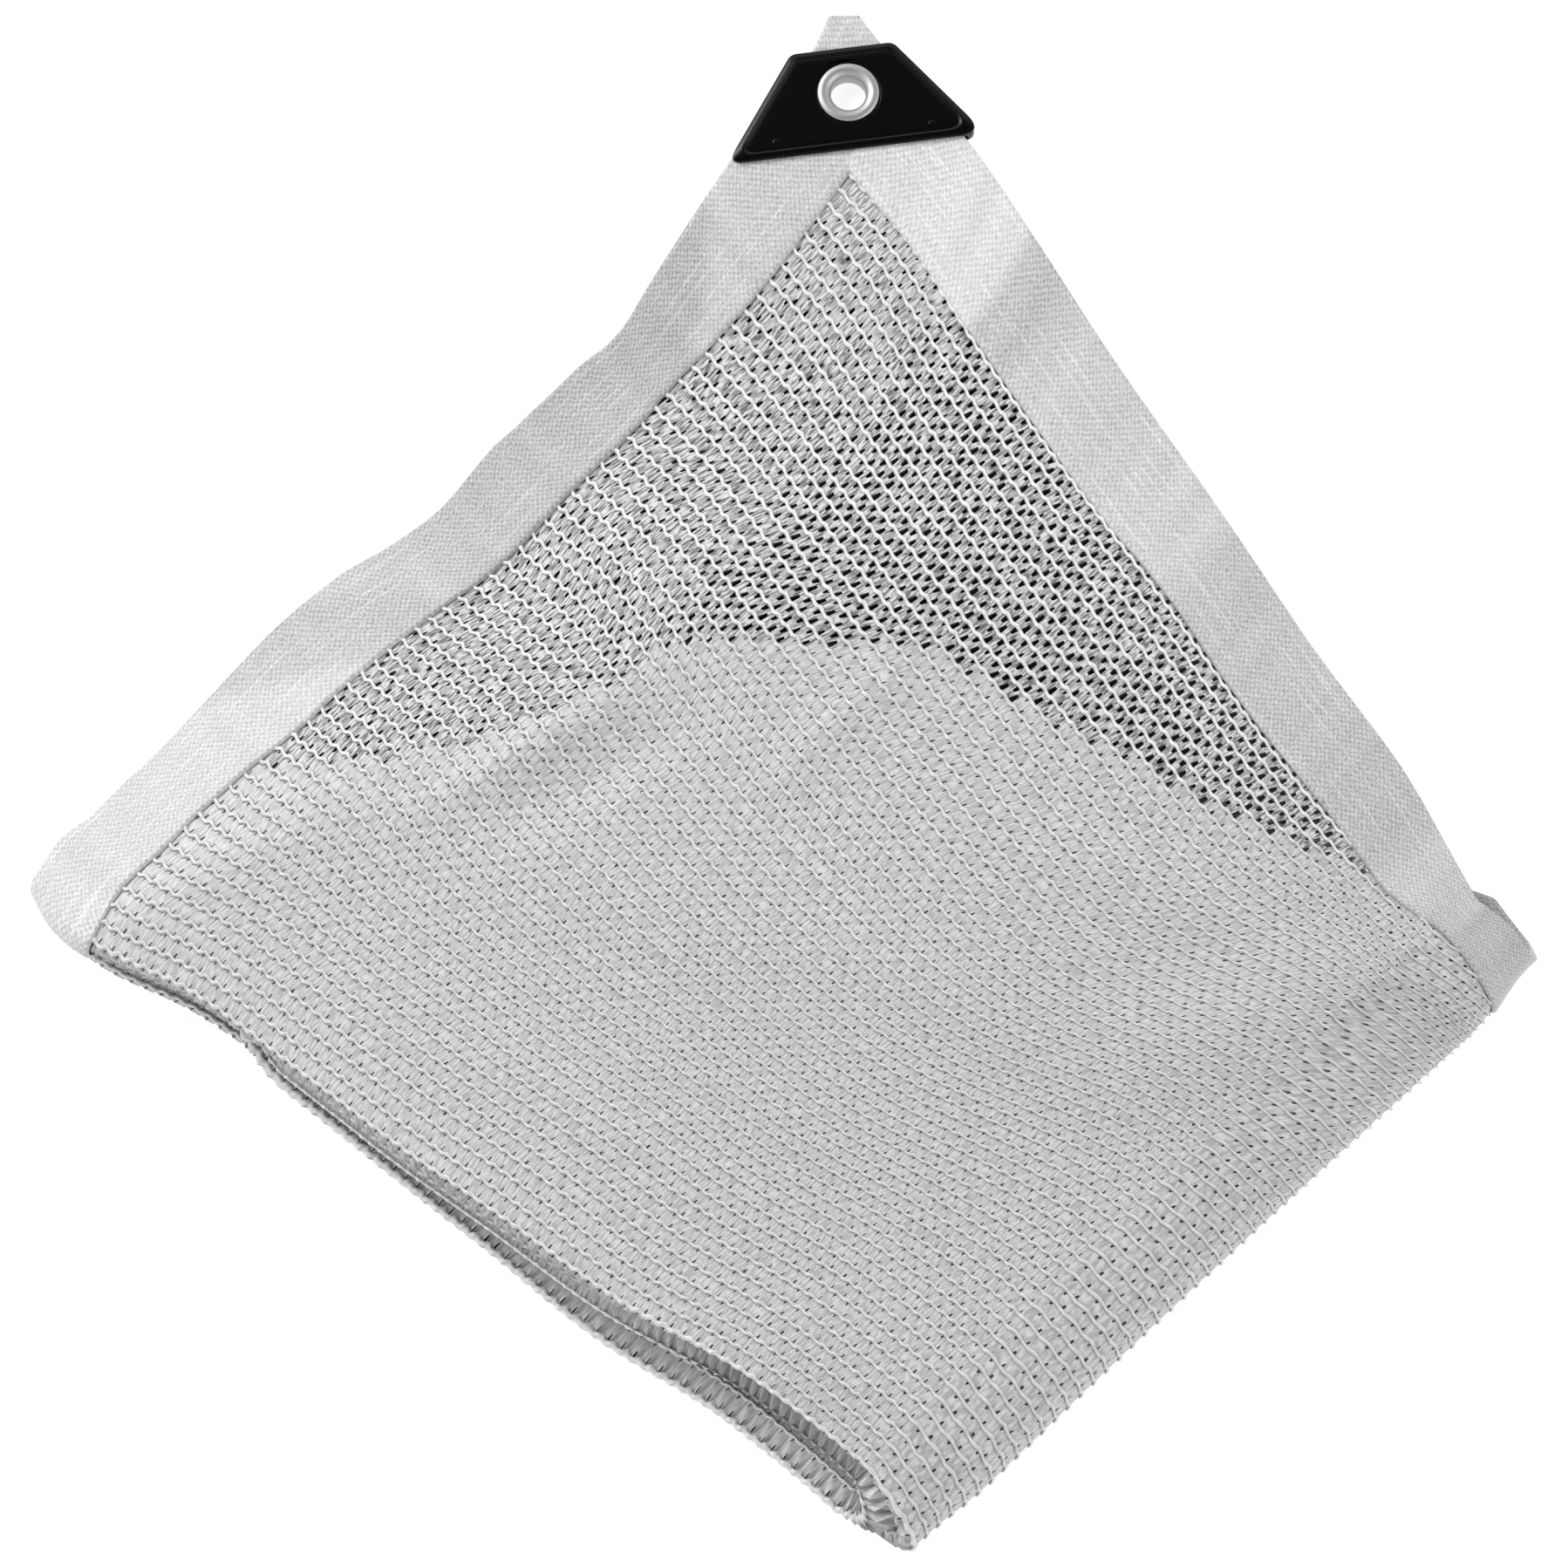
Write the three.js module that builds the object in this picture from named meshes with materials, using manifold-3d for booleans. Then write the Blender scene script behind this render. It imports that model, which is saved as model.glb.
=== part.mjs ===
// A knitted shade cloth folded into a packet. The cloth is pleated across its width, the pleated strip is
// folded once along its length, and the packet lies flat. One bound corner with its clamp plate and eyelet
// reaches out past the inner layers. Millimetres, +Z up, the packet lying on z = 0.
import * as THREE from 'three';
import Module from 'manifold-3d';
import { mergeVertices } from 'three/addons/utils/BufferGeometryUtils.js';

const wasm = await Module();
wasm.setup();

// ---------------------------------------------------------------- driving dimensions

const NET_THICK = 1.2; // the knitted net, lying loose
const TAPE_WIDTH = 36; // finished width of the woven binding on each face
const TAPE_PLY = 0.9; // one ply of the binding, with its stitching
const FIT = 0.3; // clear space between hard pieces that touch
const LOOSE_FIT = 0.4; // and between the net and its bindings
const LAYERS = 5; // pleats across the width, in each half of the packet
const PLATE_THICK = 1.8; // one clamp plate at the corner

// The packet's thickness from its loose end to its round fold.
const STACK = {
  looseEnd: { pitch: 3.1, core: 1.7 }, // pitch: layer to layer; core: half the space inside the long fold
  roundFold: { pitch: 4.6, core: 2.6 },
};

// Outline of the top layer and of the packet under it, as it lies: x to the right, y away.
const CORNER_TIP = { x: 20.5, y: 283.5 }; // before its tip is trimmed
const TRIMMED_AT = 272;
const LEFT_CORNER = { x: -256.5, y: -50.5 };
const FOLD_NEAR = { x: 26.5, y: -257.5 }; // where the round fold starts, at the near end
const FOLD_FAR = { x: 235, y: -65 }; // and at the far end
const FOLD_REACH = 1.45; // how far the round fold bulges out, against its half height
const FOLD_BOW = 2; // and how far its middle falls back from a straight line
const PACK_CORNER = { x: 40, y: 31 };

// Bound end edge of the top layer, from the left fold to the corner tip.
const END_EDGE = [
  LEFT_CORNER,
  { x: -245, y: -32 },
  { x: -221, y: -11 },
  { x: -197, y: 17 },
  { x: -175, y: 42 },
  { x: -150, y: 63.5 },
  { x: -119.5, y: 85.5 },
  { x: -101, y: 113 },
  { x: -76, y: 136 },
  { x: -60, y: 149 },
  { x: -46, y: 172 },
  { x: -17, y: 219 },
  { x: 11, y: 259 },
  CORNER_TIP,
];
// Bound side edge of the top layer, from the corner tip to the round fold.
const SIDE_EDGE = [
  CORNER_TIP,
  { x: 34, y: 263 },
  { x: 65, y: 226 },
  { x: 90, y: 187 },
  { x: 114, y: 147 },
  { x: 151, y: 85.5 },
  { x: 186, y: 22 },
  { x: 212, y: -21 },
  { x: 223, y: -42 },
  FOLD_FAR,
];
// The first pleat's fold along the left of the packet, from the loose end to the round fold.
const LEFT_FOLD = [
  LEFT_CORNER,
  { x: -248, y: -66 },
  { x: -234.5, y: -79 },
  { x: -199, y: -97 },
  { x: -156, y: -130 },
  { x: -127, y: -153 },
  { x: -96, y: -175 },
  { x: -57, y: -202 },
  { x: -14, y: -225 },
  { x: 16, y: -248 },
  FOLD_NEAR,
];
// Loose end of the second layer, which the inner layers follow further in.
const PACK_END = [
  LEFT_CORNER,
  { x: -215, y: -33 },
  { x: -177, y: -17 },
  { x: -122, y: -8 },
  { x: -82, y: 8 },
  { x: -31, y: 36 },
  PACK_CORNER,
];
// Right-hand folds of the inner pleats.
const PACK_SIDE = [
  PACK_CORNER,
  { x: 73, y: 12 },
  { x: 98, y: -1 },
  { x: 128, y: -19 },
  { x: 152, y: -32 },
  { x: 195, y: -52 },
  { x: 208, y: -90 },
];
// Bound side edge of the bottom layer, from its loose end to the round fold, where it bulges out.
const UNDER_SIDE = [
  { x: 42, y: 35 },
  { x: 76, y: 16 },
  { x: 100, y: 4 },
  { x: 154, y: -27 },
  { x: 197, y: -45 },
  { x: 226, y: -49.5 },
  { x: 244.5, y: -56 },
];

// How each layer's edges step in (-) or out (+) from those outlines, in the order of the pleats.
const PLEATS = [
  { left: -2.6, right: 0, endNear: 0, endFar: 0 },
  { left: -2.6, right: -2, endNear: 0, endFar: 0 },
  { left: -2.5, right: 0, endNear: 50, endFar: 14 },
  { left: -2.5, right: -4, endNear: 54, endFar: 18 },
  { left: -12, right: -4, endNear: 58, endFar: 16 },
];
const UNDER_SPREAD = 12; // how far the lower half shows past the upper one at the round fold
const UNDER_END = 26; // how far its loose end lies in from the second layer's

// How the free part of the top layers drops from the packet to the floor.
const DRAPE = {
  margin: [11, 8], // the top layer and the second one stay level this far past the layers under them
  shares: [0, 0.35, 1], // across the layer, left fold to side edge
  reach: [48, 115, 130], // and how far past the packet it reaches the floor
  under: 42, // the same for the second layer
  rest: 2.2, // height of the net's middle where the binding lies on the floor
  cornerRest: 4, // and over the lower clamp plate
  cornerFlat: 104, // the corner is flat this far from its tip
  cornerEase: 60,
};
// The round fold is pinched at its two ends: shares of its height and of its bulge lost there, over how many mm.
const PINCH = {
  near: { height: 0.24, bulge: 0.07, over: 30 },
  far: { height: 0.24, bulge: 0.19, over: 30 },
  from: 0.85, // share of the packet's length where the height starts to fall
};
// Soft swells of the top layer: middle, heading in degrees, half length, half width, height.
const SWELLS = [
  { x: 128, y: -62, heading: -28, long: 95, wide: 20, high: 2.6 },
  { x: 60, y: -95, heading: -32, long: 120, wide: 22, high: 1.8 },
  { x: -60, y: -62, heading: -24, long: 110, wide: 24, high: 2.0 },
  { x: -40, y: -150, heading: -38, long: 100, wide: 20, high: 1.6 },
];

const EYELET_AT = { x: 23.7, y: 241.4 }; // centre of the hole
const PLATE_TURN = 7.5; // degrees, the clamp plate's lower edge against X
const PLATE = { top: 37, bottom: 93, above: 17.7, below: 21, topRound: 2.2, bottomRound: 6.5 };

// ---------------------------------------------------------------- the net's folded surface

const mix = (a, b, t) => a + (b - a) * t;
const clamp01 = (t) => Math.min(1, Math.max(0, t));
const ease = (t) => clamp01(t) ** 2 * (3 - 2 * clamp01(t));
const point = (p) => new THREE.Vector3(p.x, p.y, 0);
const curve = (rows) => new THREE.CatmullRomCurve3(rows.map(point), false, 'centripetal');

const endEdge = curve(END_EDGE);
const sideEdge = curve(SIDE_EDGE);
const leftFold = curve(LEFT_FOLD);
const packEnd = curve(PACK_END);
const packSide = curve(PACK_SIDE);
const underSide = curve(UNDER_SIDE);
const foldLine = new THREE.Vector3().subVectors(point(FOLD_FAR), point(FOLD_NEAR)).normalize();
const foldLength = point(FOLD_FAR).distanceTo(point(FOLD_NEAR));
const foldOut = new THREE.Vector3(foldLine.y, -foldLine.x, 0);

// A patch between four edges: share runs from the left fold to the right, along from the end to the round fold.
function patch(end, fold, left, right, share, along) {
  const sides = left(along).multiplyScalar(1 - share).addScaledVector(right(along), share);
  const ends = end(share).multiplyScalar(1 - along).addScaledVector(fold(share), along);
  const flat = left(0).multiplyScalar((1 - share) * (1 - along)).addScaledVector(right(0), share * (1 - along));
  flat.addScaledVector(left(1), (1 - share) * along).addScaledVector(right(1), share * along);
  return sides.add(ends).sub(flat);
}

// Outward normal of the left fold.
function leftOut(along) {
  const heading = leftFold.getTangentAt(clamp01(along));
  return new THREE.Vector3(heading.y, -heading.x, 0);
}

const upperLeft = (along) => leftFold.getPointAt(clamp01(along));
const underLeft = (along) => upperLeft(along).addScaledVector(leftOut(along), UNDER_SPREAD * ease((along - 0.4) / 0.6) - 1.5);

// Where a layer lies in plan, in the upper half or the lower one.
function lie(layer, lower, share, along) {
  const top = layer === 0 && !lower;
  const left = lower ? underLeft : upperLeft;
  const side = top ? sideEdge : lower && layer === 0 ? underSide : packSide;
  const right = (a) => side.getPointAt(clamp01(a));
  const end = (s) => (top ? endEdge : packEnd).getPointAt(clamp01(s));
  const endOf = lower && layer === 0 ? (s) => end(s).add(right(0).sub(end(1)).multiplyScalar(s)) : end;
  const fold = (s) => left(1).lerp(right(1), s).addScaledVector(foldOut, -FOLD_BOW * Math.sin(Math.PI * s));
  const at = patch(endOf, fold, left, right, share, along);
  const across = right(along).sub(left(along)).normalize();
  const step = mix(-PLEATS[layer].left, PLEATS[layer].right, share);
  return at.addScaledVector(across, step);
}

const stackAt = (along) => ({
  pitch: mix(STACK.looseEnd.pitch, STACK.roundFold.pitch, along),
  core: mix(STACK.looseEnd.core, STACK.roundFold.core, along),
});
// Height of the plane about which the packet is folded in two, and a layer's distance from it.
const middle = (along) => NET_THICK / 2 + stackAt(along).core + (LAYERS - 1) * stackAt(along).pitch;
const fromMiddle = (layer, along) => stackAt(along).core + (LAYERS - 1 - layer) * stackAt(along).pitch;
function pinch(kind, along, at) {
  const run = at.clone().sub(point(FOLD_NEAR)).dot(foldLine);
  const { near, far, from } = PINCH;
  const ends = near[kind] * ease(1 - run / near.over) + far[kind] * ease(1 - (foldLength - run) / far.over);
  return 1 - ends * ease((along - from) / (1 - from));
}

// Distance of a plan point outside the inner layers, negative inside them.
const innerOutline = [];
for (let i = 0; i <= 12; i++) innerOutline.push(lie(2, false, i / 12, innerStart(i / 12)));
for (let i = 1; i <= 12; i++) innerOutline.push(lie(2, false, 1, mix(innerStart(1), 1, i / 12)));
function innerStart(share) {
  return mix(PLEATS[2].endNear, PLEATS[2].endFar, share) / mix(leftFold.getLength(), packSide.getLength(), share);
}
function outside(at) {
  let best = Infinity;
  let sign = 1;
  for (let i = 1; i < innerOutline.length; i++) {
    const from = innerOutline[i - 1];
    const run = innerOutline[i].clone().sub(from);
    const off = at.clone().setZ(0).sub(from);
    const near = off.clone().addScaledVector(run, -clamp01(off.dot(run) / run.lengthSq()));
    if (near.length() < best) {
      best = near.length();
      sign = Math.sign(run.x * off.y - run.y * off.x) || 1;
    }
  }
  return sign * best;
}

function swell(at) {
  let high = 0;
  for (const s of SWELLS) {
    const turn = (s.heading * Math.PI) / 180;
    const dx = at.x - s.x;
    const dy = at.y - s.y;
    const along = (dx * Math.cos(turn) + dy * Math.sin(turn)) / s.long;
    const aside = (-dx * Math.sin(turn) + dy * Math.cos(turn)) / s.wide;
    high += s.high * ease(1 - Math.abs(along)) * ease(1 - Math.abs(aside));
  }
  return high;
}

const BOUND_ROOM = 2.8; // more room between the first two layers where the binding turns round their fold
function reachAt(share) {
  const [, split] = DRAPE.shares;
  const [near, mid, far] = DRAPE.reach;
  return share < split ? mix(near, mid, share / split) : mix(mid, far, (share - split) / (1 - split));
}

// Height of the two top layers, which drape past the others.
function drapedHeight(layer, share, along, at) {
  const level = middle(along) + fromMiddle(layer, along) * pinch('height', along, at);
  const past = outside(at) - DRAPE.margin[layer];
  if (layer === 1) return mix(DRAPE.rest, level, 1 - ease(past / DRAPE.under));
  const room = BOUND_ROOM * ease(1 - along / 0.3);
  const tipAway = at.distanceTo(point(CORNER_TIP));
  const rest = mix(DRAPE.cornerRest, DRAPE.rest, ease((tipAway - DRAPE.cornerFlat) / DRAPE.cornerEase));
  const lifted = rest + mix(5, 0, clamp01(share / 0.2));
  return mix(lifted, level + room + swell(at), 1 - ease(past / reachAt(share)));
}

// The stations along the cloth: first the upper half, then the round fold, then the lower half.
const BAND = [0, TAPE_WIDTH / 2, TAPE_WIDTH];
const UPPER_STEPS = 12;
const TURN_STEPS = 8;
const UNDER_STEPS = 6;
const ROWS = [];
for (const mm of BAND) ROWS.push({ half: 'upper', mm, rest: 0 });
for (let i = 1; i <= UPPER_STEPS; i++) ROWS.push({ half: 'upper', mm: TAPE_WIDTH, rest: i / UPPER_STEPS });
for (let i = 1; i < TURN_STEPS; i++) ROWS.push({ half: 'turn', turn: (Math.PI * i) / TURN_STEPS });
for (let i = 0; i <= UNDER_STEPS; i++) ROWS.push({ half: 'under', rest: i / UNDER_STEPS });

// The nodes of one section across the pleats, from the bound side edge of the top layer to the last free edge.
const TOP_STEPS = 12;
const INNER_STEPS = 6;
const LOOP = [45, 0, -45]; // degrees round each pleat's fold, between its two layers
const SECTION = [];
for (const mm of BAND) SECTION.push({ layer: 0, mm, rest: 1 });
for (let i = TOP_STEPS - 1; i >= 0; i--) SECTION.push({ layer: 0, mm: TAPE_WIDTH, rest: i / TOP_STEPS });
for (let layer = 1; layer < LAYERS; layer++) {
  const leftward = layer % 2 === 0; // even layers run from the right-hand fold to the left
  for (const loop of LOOP) SECTION.push({ layer, loop, left: !leftward });
  for (let i = 0; i <= INNER_STEPS; i++) {
    SECTION.push({ layer, rest: leftward ? 1 - i / INNER_STEPS : i / INNER_STEPS });
  }
}

// Share of a node across its layer, and the station's place along it.
function shareOf(node, width) {
  return node.mm === undefined ? node.rest : (1 - node.mm / width) * node.rest;
}
function alongOf(row, node, share, lower) {
  const { layer } = node;
  const side = layer === 0 && !lower ? sideEdge : packSide;
  const long = mix(leftFold.getLength(), side.getLength(), share);
  const inset = mix(PLEATS[layer].endNear, PLEATS[layer].endFar, share) / long;
  if (row.half === 'turn') return 1;
  if (row.half === 'under') return mix(1, inset + UNDER_END / long, row.rest);
  const band = row.mm / long;
  return mix(inset + band, 1, row.rest);
}

const BAND_LIFT = TAPE_PLY + LOOSE_FIT; // the bottom layer rises by this where its binding lies under it
function underLift(share, width) {
  return BAND_LIFT * (1 - ease(((1 - share) * width - TAPE_WIDTH) / TAPE_WIDTH));
}

// One point of the folded surface.
function place(row, node, width) {
  const share = shareOf(node, width);
  const lower = row.half === 'under';
  const along = alongOf(row, node, share, lower);
  const part = row.half === 'turn' ? row.turn / Math.PI : Number(lower);
  const at = lie(node.layer, false, share, along).lerp(lie(node.layer, true, share, along), part);
  const reach = fromMiddle(node.layer, along) * FOLD_REACH * pinch('bulge', along, at);
  const off = fromMiddle(node.layer, along) * pinch('height', along, at);
  if (row.half === 'upper') {
    return at.setZ(node.layer < 2 ? drapedHeight(node.layer, share, along, at) : middle(along) + off);
  }
  const lift = underLift(share, width) * ease(part);
  if (lower) return at.setZ(middle(along) - off + lift);
  at.addScaledVector(foldOut, reach * Math.sin(row.turn));
  return at.setZ(middle(1) + off * Math.cos(row.turn) + lift);
}

// The whole surface as a grid of points, rows along the cloth and nodes across it.
function foldedGrid() {
  return ROWS.map((row) => {
    const width = row.half === 'upper' ? topWidth(row) : topWidth({ half: 'turn' });
    const laid = SECTION.map((node) => (node.loop === undefined ? place(row, node, width) : null));
    return laid.map((at, j) => at ?? loopPoint(row, j, laid));
  });
}
function topWidth(row) {
  if (row.half === 'turn') return upperLeft(1).distanceTo(sideEdge.getPointAt(1));
  const along = clamp01(mix(row.mm / sideEdge.getLength(), 1, row.rest));
  return patchWidth(along);
}
function patchWidth(along) {
  let length = 0;
  for (let i = 1; i <= 8; i++) length += lie(0, false, i / 8, along).distanceTo(lie(0, false, (i - 1) / 8, along));
  return length;
}

// A point on the round of a pleat's fold: a half circle that stands out from the edges of its two layers.
function loopPoint(row, j, laid) {
  const { loop, left, layer } = SECTION[j];
  const first = j - LOOP.indexOf(loop) - 1;
  const from = laid[first];
  const to = laid[first + LOOP.length + 1];
  const back = laid[first - 1];
  const out = from.clone().sub(back);
  const half = from.clone().sub(to).multiplyScalar(0.5);
  out.addScaledVector(half, -out.dot(half) / half.lengthSq()).normalize();
  const round = Math.min(half.length(), 3.2) * (left && layer === 1 ? 1.15 : 1);
  const turn = (loop * Math.PI) / 180;
  return from.clone().add(to).multiplyScalar(0.5)
    .addScaledVector(half, Math.sin(turn))
    .addScaledVector(out, round * Math.cos(turn));
}

const grid = foldedGrid();
const lastRow = ROWS.length - 1;
const lastNode = SECTION.length - 1;

// Unit normals of the surface, upward on the top layer.
const normals = grid.map((row, i) => row.map((_, j) => {
  const alongRow = grid[Math.min(i + 1, lastRow)][j].clone().sub(grid[Math.max(i - 1, 0)][j]);
  const across = row[Math.min(j + 1, lastNode)].clone().sub(row[Math.max(j - 1, 0)]);
  return across.cross(alongRow).normalize();
}));

// A point of the surface between grid lines, moved out along the normal there.
function surface(i, j, raise) {
  const i0 = Math.min(Math.floor(i), lastRow - 1);
  const j0 = Math.min(Math.floor(j), lastNode - 1);
  const blend = (field) => field[i0][j0].clone().lerp(field[i0][j0 + 1], j - j0)
    .lerp(field[i0 + 1][j0].clone().lerp(field[i0 + 1][j0 + 1], j - j0), i - i0);
  return blend(grid).addScaledVector(blend(normals).normalize(), raise);
}

// ---------------------------------------------------------------- solids from rings of points

function geometryOf(points, faces) {
  const geometry = new THREE.BufferGeometry();
  geometry.setAttribute('position', new THREE.Float32BufferAttribute(points.flatMap((p) => p.toArray()), 3));
  geometry.setIndex(faces.flat());
  let volume = 0;
  for (const [a, b, c] of faces) volume += points[a].dot(points[b].clone().cross(points[c]));
  if (volume < 0) geometry.setIndex(faces.flatMap(([a, b, c]) => [a, c, b]));
  return geometry;
}

// A closed solid from equal rings of points, the first and last ring capped by the given triangles.
// Faces on strips that run back over the cloth are split the other way, so that all split alike in plan.
function skinned(rings, cap, runsBack) {
  const count = rings[0].length;
  const faces = [];
  for (let r = 0; r + 1 < rings.length; r++) {
    for (let k = 0; k < count; k++) {
      const a = r * count + k;
      const b = r * count + ((k + 1) % count);
      if (runsBack(k)) faces.push([a, b, a + count], [b, b + count, a + count]);
      else faces.push([a, b, b + count], [a, b + count, a + count]);
    }
  }
  const last = (rings.length - 1) * count;
  for (const [a, b, c] of cap) faces.push([a, c, b], [last + a, last + b, last + c]);
  return geometryOf(rings.flat(), faces);
}

// Cap of a ring made of one side and, coming back, its opposite side, with the given count of points in each.
function ladder(count) {
  const cap = [];
  for (let k = 0; k + 1 < count; k++) {
    const opposite = 2 * count - 1 - k;
    cap.push([k, k + 1, opposite - 1], [k, opposite - 1, opposite]);
  }
  return cap;
}

function manifoldOf(geometry) {
  const bare = geometry.clone();
  bare.deleteAttribute('normal');
  bare.deleteAttribute('uv');
  const merged = mergeVertices(bare, 1e-4);
  return new wasm.Manifold(new wasm.Mesh({
    numProp: 3,
    vertProperties: new Float32Array(merged.attributes.position.array),
    triVerts: new Uint32Array(merged.index.array),
  }));
}

function geometryFrom(solid) {
  const mesh = solid.getMesh();
  const geometry = new THREE.BufferGeometry();
  geometry.setAttribute('position', new THREE.BufferAttribute(new Float32Array(mesh.vertProperties), 3));
  geometry.setIndex(new THREE.BufferAttribute(new Uint32Array(mesh.triVerts), 1));
  return geometry;
}

function cylinder(radius, low, high, sides = 32) {
  const geometry = new THREE.CylinderGeometry(radius, radius, high - low, sides);
  geometry.rotateX(Math.PI / 2).translate(EYELET_AT.x, EYELET_AT.y, (low + high) / 2);
  return geometry;
}

// ---------------------------------------------------------------- net and bindings

const EDGE_IN = TAPE_PLY + 2 * FIT; // the net's bound edges stop this far inside the outline
const edgeStep = EDGE_IN / (TAPE_WIDTH / 2);

function netGeometry() {
  const rowsAt = ROWS.map((_, i) => (i === 0 ? edgeStep : i));
  const nodesAt = SECTION.map((_, j) => (j === 0 ? edgeStep : j));
  const half = NET_THICK / 2;
  const rings = rowsAt.map((i) => [
    ...nodesAt.map((j) => surface(i, j, half)),
    ...nodesAt.toReversed().map((j) => surface(i, j, -half)),
  ]);
  return skinned(rings, ladder(nodesAt.length), (k) => k >= nodesAt.length);
}

// The binding's section: inward distance from the outline and height over the net's middle.
const PLY_IN = NET_THICK / 2 + LOOSE_FIT;
const PLY_OUT = PLY_IN + TAPE_PLY;
const BINDING_OUTER = [
  { inward: TAPE_WIDTH, raise: PLY_OUT },
  { inward: TAPE_WIDTH / 2, raise: PLY_OUT },
  { inward: 0.7, raise: PLY_OUT },
  { inward: 0, raise: PLY_OUT - 0.7 },
];
const BINDING_INNER = [
  { inward: TAPE_WIDTH, raise: PLY_IN },
  { inward: TAPE_WIDTH / 2, raise: PLY_IN },
  { inward: TAPE_PLY + FIT + 0.5, raise: PLY_IN },
  { inward: TAPE_PLY + FIT, raise: PLY_IN - 0.3 },
];
const mirrored = (rows) => rows.toReversed().map((p) => ({ ...p, raise: -p.raise }));
const BINDING_RING = [
  ...BINDING_OUTER, ...mirrored(BINDING_OUTER),
  ...BINDING_INNER.map((p) => ({ ...p, raise: -p.raise })), ...BINDING_INNER.toReversed(),
];
const BINDING_CAP = ladder(2 * BINDING_OUTER.length);
const bandStep = (inward) => inward / (TAPE_WIDTH / 2);
const bindingRunsBack = (k) => BINDING_RING[(k + 1) % BINDING_RING.length].inward < BINDING_RING[k].inward;

// The end binding turns round the first pleat and runs on along the second layer.
const END_BINDING_LAST = SECTION.findIndex((node) => node.layer === 1 && node.rest === 1) - 1;
function endBinding() {
  const rings = [];
  for (let j = 0; j <= END_BINDING_LAST; j++) {
    rings.push(BINDING_RING.map((p) => surface(bandStep(p.inward), j, p.raise)));
  }
  return skinned(rings, BINDING_CAP, bindingRunsBack);
}

// The side binding butts against the end binding near the corner and runs on round the packet's fold.
function sideBinding() {
  const rings = [];
  const firstRow = BAND.length - 1;
  for (let i = firstRow; i <= lastRow; i++) {
    const at = i === firstRow ? firstRow + 0.03 : i;
    rings.push(BINDING_RING.map((p) => surface(at, bandStep(p.inward), p.raise)));
  }
  return skinned(rings, BINDING_CAP, bindingRunsBack);
}

// ---------------------------------------------------------------- corner clamp and eyelet

const BARREL_OUT = 7.0;
const BARREL_IN = 6.2;
const FLANGE = 10.9;
const HOLE_CLEAR = BARREL_OUT + FIT + 0.05;
const TAPE_TOP = DRAPE.cornerRest + PLY_OUT;
const TAPE_UNDER = DRAPE.cornerRest - PLY_OUT;
const FRONT_LOW = TAPE_TOP + FIT;
const FRONT_HIGH = FRONT_LOW + PLATE_THICK;
const BACK_HIGH = TAPE_UNDER - FIT;
const BACK_LOW = BACK_HIGH - PLATE_THICK;

function plateShape(inset = 0) {
  const shape = new THREE.Shape();
  const { top, bottom, above, below, topRound, bottomRound } = PLATE;
  const corners = [
    [-bottom / 2 + inset * 2, -below + inset],
    [bottom / 2 - inset * 2, -below + inset],
    [top / 2 - inset * 0.4, above - inset],
    [-top / 2 + inset * 0.4, above - inset],
  ].map(([x, y]) => new THREE.Vector2(x, y));
  corners.forEach((at, i) => {
    const before = corners[(i + 3) % 4];
    const after = corners[(i + 1) % 4];
    const round = i < 2 ? bottomRound : topRound;
    const from = at.clone().add(before.clone().sub(at).setLength(round));
    const to = at.clone().add(after.clone().sub(at).setLength(round));
    if (i === 0) shape.moveTo(from.x, from.y);
    else shape.lineTo(from.x, from.y);
    shape.quadraticCurveTo(at.x, at.y, to.x, to.y);
  });
  shape.closePath();
  return shape;
}

function onPlate(geometry, low) {
  return geometry.rotateZ((PLATE_TURN * Math.PI) / 180).translate(EYELET_AT.x, EYELET_AT.y, low);
}

function slab(shape, low, high) {
  const geometry = new THREE.ExtrudeGeometry(shape, { depth: high - low, bevelEnabled: false, curveSegments: 5 });
  return manifoldOf(onPlate(geometry, low));
}

// A raised rib along one slanted side of the plate.
const RIB = { wide: 1.8, high: 0.6, inset: 1.2 };
function slantRib(side, low) {
  const { top, bottom, above, below } = PLATE;
  const foot = new THREE.Vector2(side * (bottom / 2 - 3.4), -below + 3.2);
  const head = new THREE.Vector2(side * (top / 2 - 0.6), above - 2.2);
  const out = new THREE.Vector2(head.y - foot.y, foot.x - head.x).normalize().multiplyScalar(side);
  const shape = new THREE.Shape([
    foot.clone().addScaledVector(out, -RIB.inset),
    head.clone().addScaledVector(out, -RIB.inset),
    head.clone().addScaledVector(out, -RIB.inset - RIB.wide),
    foot.clone().addScaledVector(out, -RIB.inset - RIB.wide),
  ]);
  return slab(shape, low - 0.2, low + RIB.high);
}

const PINS = [{ x: -28, y: -15.2 }, { x: 28, y: -15.2 }];
const RECESS = { front: 0.6, back: 1.1, radius: FLANGE + 0.5 };

function frontPlate() {
  const edge = 0.5;
  let solid = slab(plateShape(), FRONT_LOW, FRONT_HIGH - edge);
  solid = solid.add(slab(plateShape(edge), FRONT_HIGH - edge - 0.1, FRONT_HIGH));
  for (const side of [-1, 1]) solid = solid.add(slantRib(side, FRONT_HIGH));
  for (const pin of PINS) {
    const stud = new THREE.CylinderGeometry(1.1, 1.3, 0.7, 12).rotateX(Math.PI / 2).translate(pin.x, pin.y, 0.1);
    solid = solid.add(manifoldOf(onPlate(stud, FRONT_HIGH)));
  }
  solid = solid.subtract(manifoldOf(cylinder(RECESS.radius, FRONT_HIGH - RECESS.front, FRONT_HIGH + 3)));
  return geometryFrom(solid.subtract(manifoldOf(cylinder(HOLE_CLEAR, FRONT_LOW - 1, FRONT_HIGH + 1))));
}

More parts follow.
